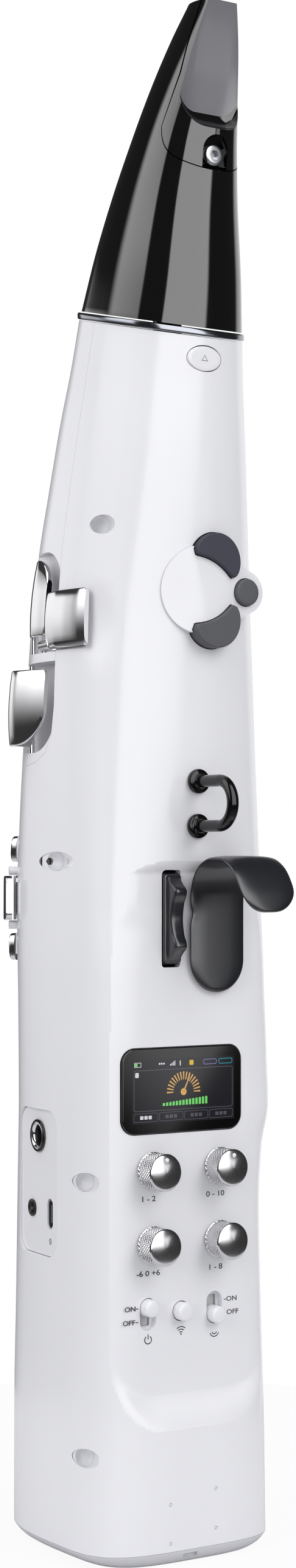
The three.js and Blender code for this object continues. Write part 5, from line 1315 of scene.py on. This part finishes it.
def plate_top():
    """What is cut off above the plate: flat by the lug, and to the left a little over the thumb face."""
    x = np.linspace(-18, 27, 100)
    z = np.linspace(PLATE_Z - 18, PLATE_Z + 18, 60)[:, None]
    over = face_y(np.clip(x, -18, 12), z) - 0.7 - 2.6 * eased((x + 13) / 16) - PLATE_Y
    reach = np.maximum(1.2 - np.abs(over), 0) / 1.2
    y = PLATE_Y - 0.02 + np.maximum(over, 0) + reach**2 * 0.3
    return outside_of("top", np.stack([x + 0 * z, y, z + 0 * x], -1))


def thumb_plate():
    """The plate: its outline less the body behind it, trimmed on top, with holes for the buttons."""
    made = solid("plate", pad_grid(plate_outline(), [(0, -12), (0, 0)], thumb_plane(PLATE_Y)))
    rows = ROWS[(ROWS > 290) & (ROWS < 372)]
    made = combine(made, [outer_body(-GAP, rows)])
    made = combine(made, [plate_top()])
    tools = [slab(octave_outline(side, GAP), PLATE_Y - 2, PLATE_Y + 14) for side in (1, -1)]
    tools.append(slab(circle(THUMB_HOLE, LUG_X, PLATE_Z), PLATE_Y - 2, PLATE_Y + 14))
    return cut(made, tools)


piece(thumb_plate(), "thumb_plate_moulding", WHITE, replaces="thumb_plate", slot="white")
for name, side, finish in (("octave_up_button", 1, BUTTON_BLUE), ("octave_down_button", -1, BUTTON)):
    profile = [(0, -4.2), (0, 0.9)] + soft_edge(0.5, 1.5)
    crescent = solid("crescent", pad_grid(octave_outline(side, 0), profile, thumb_plane(PLATE_Y)))
    moving(crescent, name, "_cap", finish, "satin", 40)
rows = [(4.6, -4.2), (4.6, 0.8), (4.5, 1.15), (4.2, 1.36), (3.7, 1.4), (0.2, 1.3)]
made = solid("round", turned_grid(rows, thumb_plane(PLATE_Y), LUG_X, PLATE_Z))
piece(made, "thumb_round_cap", BUTTON, body="thumb_round_button", replaces="thumb_round_button", slot="satin")


def neck_button():
    """An oval cap, a little crowned, square to the leaning neck."""
    rows = np.array([(0, -4), (0, 0.0), (0.1, 0.2), (0.35, 0.28), (1.5, 0.3)])
    ring = circle(1, 0, 0, 72)
    u = ring[:, 0] * (OVAL_ACROSS - rows[:, :1])
    v = ring[:, 1] * (OVAL_UP - rows[:, :1])
    return solid("oval", neck_place()(u, v, rows[:, 1:] + 0 * u))


piece(neck_button(), "neck_button_cap", WHITE, body="neck_button", replaces="neck_button", slot="cap_white")


def triangle_mark():
    """A thin outlined triangle on the neck button: its outer and inner corners, front and back."""
    corner = np.array([(-1.3, -0.8), (1.3, -0.8), (0, 1.2)])
    ring = np.stack([corner, corner, corner * 0.8, corner * 0.8])
    high = np.array([0.29, 0.33, 0.33, 0.29])[:, None]
    grid = neck_place()(ring[..., 0], ring[..., 1], high + 0 * ring[..., 0])
    return solid("triangle", grid, looped=True)


piece(triangle_mark(), "neck_button_mark", MARK, body="neck_button")

# The port panel and its sockets

plate = solid("ports", pad_grid(port_outline(0.06), [(0, -1.6)] + soft_edge(0.25, 0), PORT))
piece(cut(plate, port_holes(GAP, 4, 2)), "port_plate", WHITE, replaces="port_panel", slot="white")


def tube(rows, at):
    """A turned ring: a profile of (radius, height) that closes on itself, about a socket's axis."""
    return solid("tube", turned_grid(rows, PORT, *at), looped=True)


nut = [(4.75, GAP), (5.6, GAP), (5.7, 0.45), (5.65, 0.8), (5.4, 1.0), (4.9, 1.0), (4.75, 0.85)]
piece(tube(nut, JACK), "output_jack_nut", RING_BLACK)
sleeve = [
    (4.3, -25), (4.3, 0.1), (4.7, 0.35), (4.7, 0.9), (4.5, 1.0), (4.15, 0.9), (3.8, 0.2), (3.5, -0.6),
    (3.3, -1.2), (3.3, -22), (1.0, -22.2), (1.0, -25),
]
piece(tube(sleeve, JACK), "output_jack_sleeve", CHROME, replaces="output_jack", slot="chrome", angle=50)
liner = [(3.72, 0.0), (3.4, -0.75), (3.26, -1.3), (3.26, -21.9), (3.1, -21.9), (3.1, -1.3), (3.55, 0.0)]
piece(tube(liner, JACK), "output_jack_liner", DARK)
phone = [
    (2.5, -15), (2.5, 0.2), (3.0, 0.32), (2.98, 0.6), (2.75, 0.7), (2.3, 0.66), (1.8, 0.2), (1.8, -13),
    (0.6, -13.2), (0.6, -15),
]
piece(tube(phone, PHONES), "headphone_socket", DARK, replaces="headphone_jack", slot="satin", angle=50)
lens = solid("lens", turned_grid([(0.8, -4), (0.8, 0.02), (0.7, 0.12), (0.2, 0.14)], PORT, *LAMP, 24))
piece(lens, "charge_lens", LIGHT, replaces="charge_light", slot="light")


def usb_shell():
    """The socket's metal shell, a slot with round ends, its cavity and its tongue."""
    profile = [(0.1, -8), (0, -7.8), (0, -0.45), (0.12, -0.35)]
    outer = solid("shell", pad_grid(rounded(*USB_SIZE, 2.0, *USB, 12), profile, PORT))
    outer = combine(outer, [port_slab(rounded(3.4, 9.3, 1.69, *USB, 12), 7.3, 2)])
    return combine(outer, [port_slab(rounded(0.7, 6.2, 0.2, *USB), 7.65, -0.7)], "UNION")


piece(usb_shell(), "usb_shell", STEEL, replaces="usb_socket", slot="steel")

# Keys


def curved_plate(key):
    """The paddle as rows along its plan: each row is the plate's rounded cross-section between its edges."""
    length, place = palm_place(key)
    low, high, c = key["low"], key["high"], key["corner"]
    top, is_middle = BAYS[key["bay"]]["top"], c < 2
    small_round, tail_round, soft = 1.2, 0.8, 0.55
    free = (1 - np.cos(np.linspace(0, np.pi / 2, 16))) * max(c, small_round)
    far_end = length - free[:8] / free[7] * tail_round
    s = np.unique(np.concatenate([free, np.linspace(free[-1], length - tail_round, 34), far_end]))
    s = np.clip(s, 0.03, length - 0.03)
    drop, small, tail = rounding(c, s), rounding(small_round, s), rounding(tail_round, length - s)
    up = high - (drop if top or is_middle else small) - tail
    down = low + (small if top or is_middle else drop) + tail
    thick, t = 2.2, np.linspace(0, np.pi / 2, 5)
    rise, dip = 1 - np.cos(t), 1 - np.sin(t)
    under, deep = (2.4, 1.5) if is_middle else (soft, soft)
    face = np.linspace(0, 1, 9)[1:-1]
    low_edge, high_edge = down[:, None] + under * rise[::-1], up[:, None] - soft * rise
    front = (down + under)[:, None] * (1 - face) + (up - soft)[:, None] * face
    back_edge = down[:, None] + soft * rise[::-1]
    v = np.concatenate([high_edge, back_edge, low_edge[:, ::-1], front, high_edge[:, ::-1]], 1)
    inside, outside = -thick + soft * dip, -soft * dip
    h = np.concatenate([inside, inside[::-1], -deep * dip, 0 * face, outside[::-1]])
    middle, half = (high + low) / 2, (high - low) / 2
    crown = np.where(h > -thick / 2, -0.8 * ((v - middle) / half) ** 2, 0)
    u = np.broadcast_to(s[:, None] - length / 2, v.shape)
    return solid("paddle", place(u, v, h + crown))


def palm_made(key):
    """A paddle with its upright hinge rod; the middle one has an arm and, like the high one, a short rod."""
    made, (bx, by), low = curved_plate(key), key["barrel"], key["low"]
    foot, top = BAYS[key["bay"]]["low"] + GAP, BAYS[key["bay"]]["high"] - GAP
    if key["corner"] < 2:
        ex, ey = key["plan"][-1]
        arm = bar((ex + 2.2, ey - 2.2, low + 2.2), (bx, by, low + 2.2), 2.2, 32)
        return combine(made, [arm, bar((bx, by, foot), (bx, by, low + 4.4), 1.0, 32)], "UNION")
    if key["bay"] == "upper":
        top = low + 6
    return combine(made, [bar((bx, by, foot), (bx, by, top), 0.9, 32)], "UNION")


for name, key in PALMS.items():
    moving(palm_made(key), name, "_paddle", CHROME, angle=28)

for name, (x, z, radius) in ROUND_KEYS.items():
    rows = [(radius, -5.4), (radius, 2.1), (radius - 0.15, 2.45), (radius - 0.5, 2.6), (radius - 0.9, 2.5)]
    rows += [(radius * s, 1.8 + 0.6 * s**2) for s in (0.8, 0.6, 0.4, 0.2, 0.03)]
    made = solid("key", turned_grid(rows, round_key_place(x, z), 0, 0, 72))
    moving(made, name, "_cup", CHROME)


def lever_key(key):
    """A plate that floats over the front, its outline laid on the lifted surface, with a barrel and a web."""
    low, length, _, width, hinge = key
    middle, across, out, ends = lever_frame(key)

    def place(u, v, h):
        """Finds the lifted surface above a point of the flat plan, by coming closer in eight steps."""
        up = LIFT + h
        for _ in range(8):
            at = middle + u[..., None] * across + up[..., None] * out
            angle = np.arctan2(at[..., 1] - columns(BODY, v)[3], at[..., 0])
            at = outline_at(BODY, v, angle, -(LIFT + h))
            up = (at - middle) @ out
        return at

    s = np.linspace(-1, 1, 25)
    r, edge = 2.4, 0.5
    reach = np.abs(s) * width / 2
    drop = rounding(r, width / 2 - reach)
    up, down = low + length - drop, low + drop
    t = np.linspace(0, np.pi / 2, 5)
    cx, cz = edge * (1 - np.cos(t)), edge * (1 - np.sin(t))
    v = np.concatenate([up[:, None], up[:, None] - cx, down[:, None] + cx[::-1], down[:, None]], 1)
    h = np.concatenate([[0], THICK - cz, THICK - cz[::-1], [0]])
    u = np.broadcast_to((s * width / 2)[:, None], v.shape)
    made = solid("lever", place(u, v, h + 0 * v))
    neck = ends + np.array([[0, 0, r], [0, 0, -r]])
    inward, lift = -across * hinge * 2 * BARREL, out * BARREL
    corners = np.stack([0 * out, lift, lift + inward + out * THICK / 2, inward])
    web = solid("web", neck[:, None] + corners)
    return combine(made, [web, bar(ends[0], ends[1], BARREL, 32)], "UNION")


for name, key in LEVERS.items():
    moving(lever_key(key), name, "_touch", CHROME, angle=40)

# Small fasteners and marks

piece(pins(), "foot_pins", WHITE)


def recess_place(spot, side, deep):
    """The plane square to a slanting recess at a depth along it."""
    x, y, z = spot
    along = np.array([-side * math.sin(SCREW_TURN), math.cos(SCREW_TURN), 0])
    seat = np.array([side * x, y, z]) + along * deep
    return plane(seat, np.cross((0, 0, 1), -along), (0, 0, 1), -along)


def recess_screw(spot, side):
    """A pan-headed screw at the bottom of a recess, with a cross slot."""
    at = recess_place(spot, side, 11.98)
    rows = [(2.6, 0), (2.6, 0.7), (2.4, 1.2), (1.8, 1.6), (0.9, 1.8), (0.1, 1.85)]
    made = solid("head", turned_grid(rows, at, 0, 0, 40))
    arms = [rounded(*size, 0.15) for size in ((0.6, 3.2), (3.2, 0.6))]
    return cut(made, [solid("arm", pad_grid(arm, [(0, 0.9), (0, 3)], at)) for arm in arms])


def recess_plug(spot, side, hole):
    """A moulded plug that closes a recess, dished so that its floor runs up into the wall."""
    at = recess_place(spot, side, 9.0)
    rows = [(3.25, -1), (3.25, 6.2), (2.9, 4.4), (2.4, 3.1), (1.8, 2.3), (1.0, 1.8), (0.1, 1.6)]
    made = solid("plug", turned_grid(rows, at, 0, 0, 48))
    near = ROWS[(ROWS > spot[2] - 12) & (ROWS < spot[2] + 12)]
    made = combine(made, [outer_body(0.35, near)], "INTERSECT")
    if hole:
        made = combine(made, [solid("hole", turned_grid([(1.3, -2), (1.3, 8)], at, -0.6, 0, 32))])
    return made


for i, spot in enumerate(SCREWS):
    for side, where in ((-1, "left"), (1, "right")):
        piece(recess_plug(spot, side, i == 2), f"flank_plug_{where}_{i + 1}", WHITE)
        if i == 2:
            piece(recess_screw(spot, side), f"flank_screw_{where}", SATIN)


def words(name, text, x, z, size, stretch=1.25):
    """Raised print: the outline of the letters, thickened a little and laid on the panel."""
    curve = bpy.data.curves.new(name, "FONT")
    curve.body, curve.size, curve.extrude = text, size, 0.012
    curve.align_x, curve.align_y, curve.offset = "CENTER", "CENTER", 0.03
    made = linked(name, curve)
    bpy.context.view_layer.update()
    mesh = bpy.data.meshes.new_from_object(made.evaluated_get(bpy.context.evaluated_depsgraph_get()))
    bpy.data.objects.remove(made)
    co = np.empty(len(mesh.vertices) * 3, np.float32)
    mesh.vertices.foreach_get("co", co)
    co = co.reshape(-1, 3)
    there = np.stack([x + co[:, 0] * stretch, PRINT_Y - co[:, 2] - 0.005, z + co[:, 1]], -1) * MM
    mesh.vertices.foreach_set("co", there.ravel().astype(np.float32))
    return linked(name, mesh)


px, bx = SWITCHES["power_switch"][0], SWITCHES["bite_switch"][0]
ON_Z, OFF_Z = 87.9, 83.3
labels = [("ON", px - 7.2, ON_Z), ("OFF", px - 7.7, OFF_Z), ("ON", bx + 7.3, ON_Z), ("OFF", bx + 7.7, OFF_Z)]
for i, (text, x, z) in enumerate(labels):
    piece(words("label", text, x, z, 2.3), f"label_{i + 1}", MARK)
lefts = (px - 4.9, bx + 4.0)
dashes = [box_outline(x, x + 0.9, z - 0.15, z + 0.15, 0.05) for x in lefts for z in (ON_Z, OFF_Z)]
scales = ["1 - 2", "0 - 10", "-6 0 +6", "1 - 8"]
for i, ((x, z), text) in enumerate(zip(KNOBS.values(), scales)):
    piece(words("scale", text, x - 1.6, z - 9.6, 2.6), f"scale_{i + 1}", MARK)


def arc(cx, cz, radius, width, from_deg, to_deg, count=20):
    """A part of a flat ring."""
    t = np.radians(np.linspace(from_deg, to_deg, count))
    r = np.concatenate([np.full(count, radius + width / 2), np.full(count, radius - width / 2)])
    t = np.concatenate([t, t[::-1]])
    return np.stack([cx + r * np.cos(t), cz + r * np.sin(t)], -1)


power = [arc(px, 77, 1.35, 0.34, 125, 415, 40), box_outline(px - 0.17, px + 0.17, 77.1, 78.9, 0.05)]
wave = [arc(PAIR_X, 77.6, r, 0.32, 48, 132) for r in (0.9, 1.75, 2.6)] + [circle(0.3, PAIR_X, 77.7, 16)]
bite = [arc(bx, 77.4, r, 0.32, 200, 340) for r in (1.0, 1.9)]
piece(decals("marks", dashes + power + wave + bite, PRINT_Y, 0.025), "panel_marks", MARK)

# Light and surroundings


def lamp(name, place, target, size, power, size_y=None):
    """An area light at a place, aimed at a target, that metal and gloss don't mirror."""
    data = bpy.data.lights.new(name, "AREA")
    data.shape = "RECTANGLE"
    data.size, data.size_y = size, size_y or size
    data.energy = power
    made = linked(name, data)
    aim = (Vector(target) - Vector(place)).to_track_quat("-Z", "Y").to_matrix().to_4x4()
    made.matrix_world = Matrix.Translation(Vector(place)) @ aim
    made.visible_glossy = False
    return made


lamp("key", (0.6, -1.45, 1.4), (0, 0, 0.42), 1.0, 16.4, size_y=1.4)
lamp("fill", (-1.7, -0.5, 1.0), (0, 0, 0.42), 0.8, 14.2, size_y=1.6)
lamp("top", (0, 0.3, 2.0), (0, 0, 0.2), 1.6, 11)


class Backdrop:
    """Adds nodes to a tree in the same way as a finish does."""

    def __init__(self, tree):
        self.tree = tree

    node, put = Finish.node, Finish.put


world = bpy.data.worlds.new("world")
bpy.context.scene.world = world
world.use_nodes = True
sky = Backdrop(world.node_tree)


def edge(value, low, high):
    """A smooth step from 0 at low to 1 at high."""
    return sky.node("MapRange", {"interpolation_type": "SMOOTHSTEP"}, {0: value, 1: low, 2: high})


def dot(direction, vector):
    """The share of a direction along a vector."""
    values = {0: direction, 1: tuple(float(v) for v in vector)}
    return sky.node("VectorMath", {"operation": "DOT_PRODUCT"}, values, "Value")


def studio():
    """What metal and gloss mirror: soft boxes by angle round the object, the white backdrop behind it."""
    way = sky.node("TexCoord", {}, {}, "Generated")
    ahead, aside, up = dot(way, -LOOK), dot(way, RIGHT), dot(way, (0, 0, 1))
    turn = sky.node("Math", {"operation": "ARCTAN2"}, {0: aside, 1: ahead}) * math.degrees(1)
    rise = sky.node("Math", {"operation": "ARCSINE"}, {0: up}) * math.degrees(1)
    left_box = edge(turn, -101, -90) * edge(turn, -49, -52) * edge(rise, 0, 24) * edge(rise, 75, 60)
    right_box = edge(turn, -12, -9) * edge(turn, 65, 60) * edge(rise, -10, -2) * edge(rise, 75, 60)
    slant = turn - 71.54 - rise * 0.58
    wedge = edge(turn, 60, 66) * edge(slant, 0.12, -0.12) * edge(rise, 3, 0)
    wedge = wedge * edge(rise + turn * 1.3 - 82.6, -1.6, 1.8)
    wall = edge(turn, -150, -140) * edge(turn, -90, -110) * edge(rise, -10, 10) * edge(rise, 20, 14)
    behind = edge(abs(turn), 124, 138) * edge(rise, -60, -20) * edge(rise + turn * -0.12, 12, -4)
    low = edge(rise, -12, -44) * 0.25
    return 0.04 + left_box * 2.25 + right_box * 2.7 + wedge * 1.5 + wall * 1.1 + behind * 0.9 + low


soft_light = world.node_tree.nodes["Background"]
soft_light.inputs["Color"].default_value = (0.97, 0.975, 1.0, 1)
SOFT_STRENGTH = 0.61
soft_light.inputs["Strength"].default_value = SOFT_STRENGTH
seen = sky.node("Background", {}, {"Color": (1, 1, 1, 1), "Strength": 1.0})
mirrored = sky.node("Background", {}, {"Color": (0.99, 0.99, 1, 1), "Strength": studio()})
ray, through, glossy = (
    sky.node("LightPath", {}, {}, f"Is {kind} Ray") for kind in ("Camera", "Transmission", "Glossy")
)
shows = sky.node("Math", {"operation": "MAXIMUM"}, {0: ray, 1: through})
inner = sky.node("MixShader", {}, {0: glossy, 1: Value(sky, soft_light.outputs[0]), 2: mirrored})
mixed = sky.node("MixShader", {}, {0: shows, 1: inner, 2: seen})
world.node_tree.links.new(mixed.socket, world.node_tree.nodes["World Output"].inputs[0])

floor = solid("floor", slab_grid(circle(280, 0, 0, 96), -4, -0.2, "z"))
pale = Finish("floor_pale", base_color=(0.62, 0.62, 0.63, 1), roughness=0.7)
glow = pale.node("Emission", {}, {"Strength": 1.0})
camera_ray = pale.node("LightPath", {}, {}, "Is Camera Ray")
blend = pale.node("MixShader", {}, {0: camera_ray * 0.93, 1: Value(pale, pale.shader.outputs[0]), 2: glow})
pale.tree.links.new(blend.socket, pale.tree.nodes["Material Output"].inputs[0])
floor.data.materials.append(pale.material)

bpy.context.scene.view_settings.view_transform = "Standard"
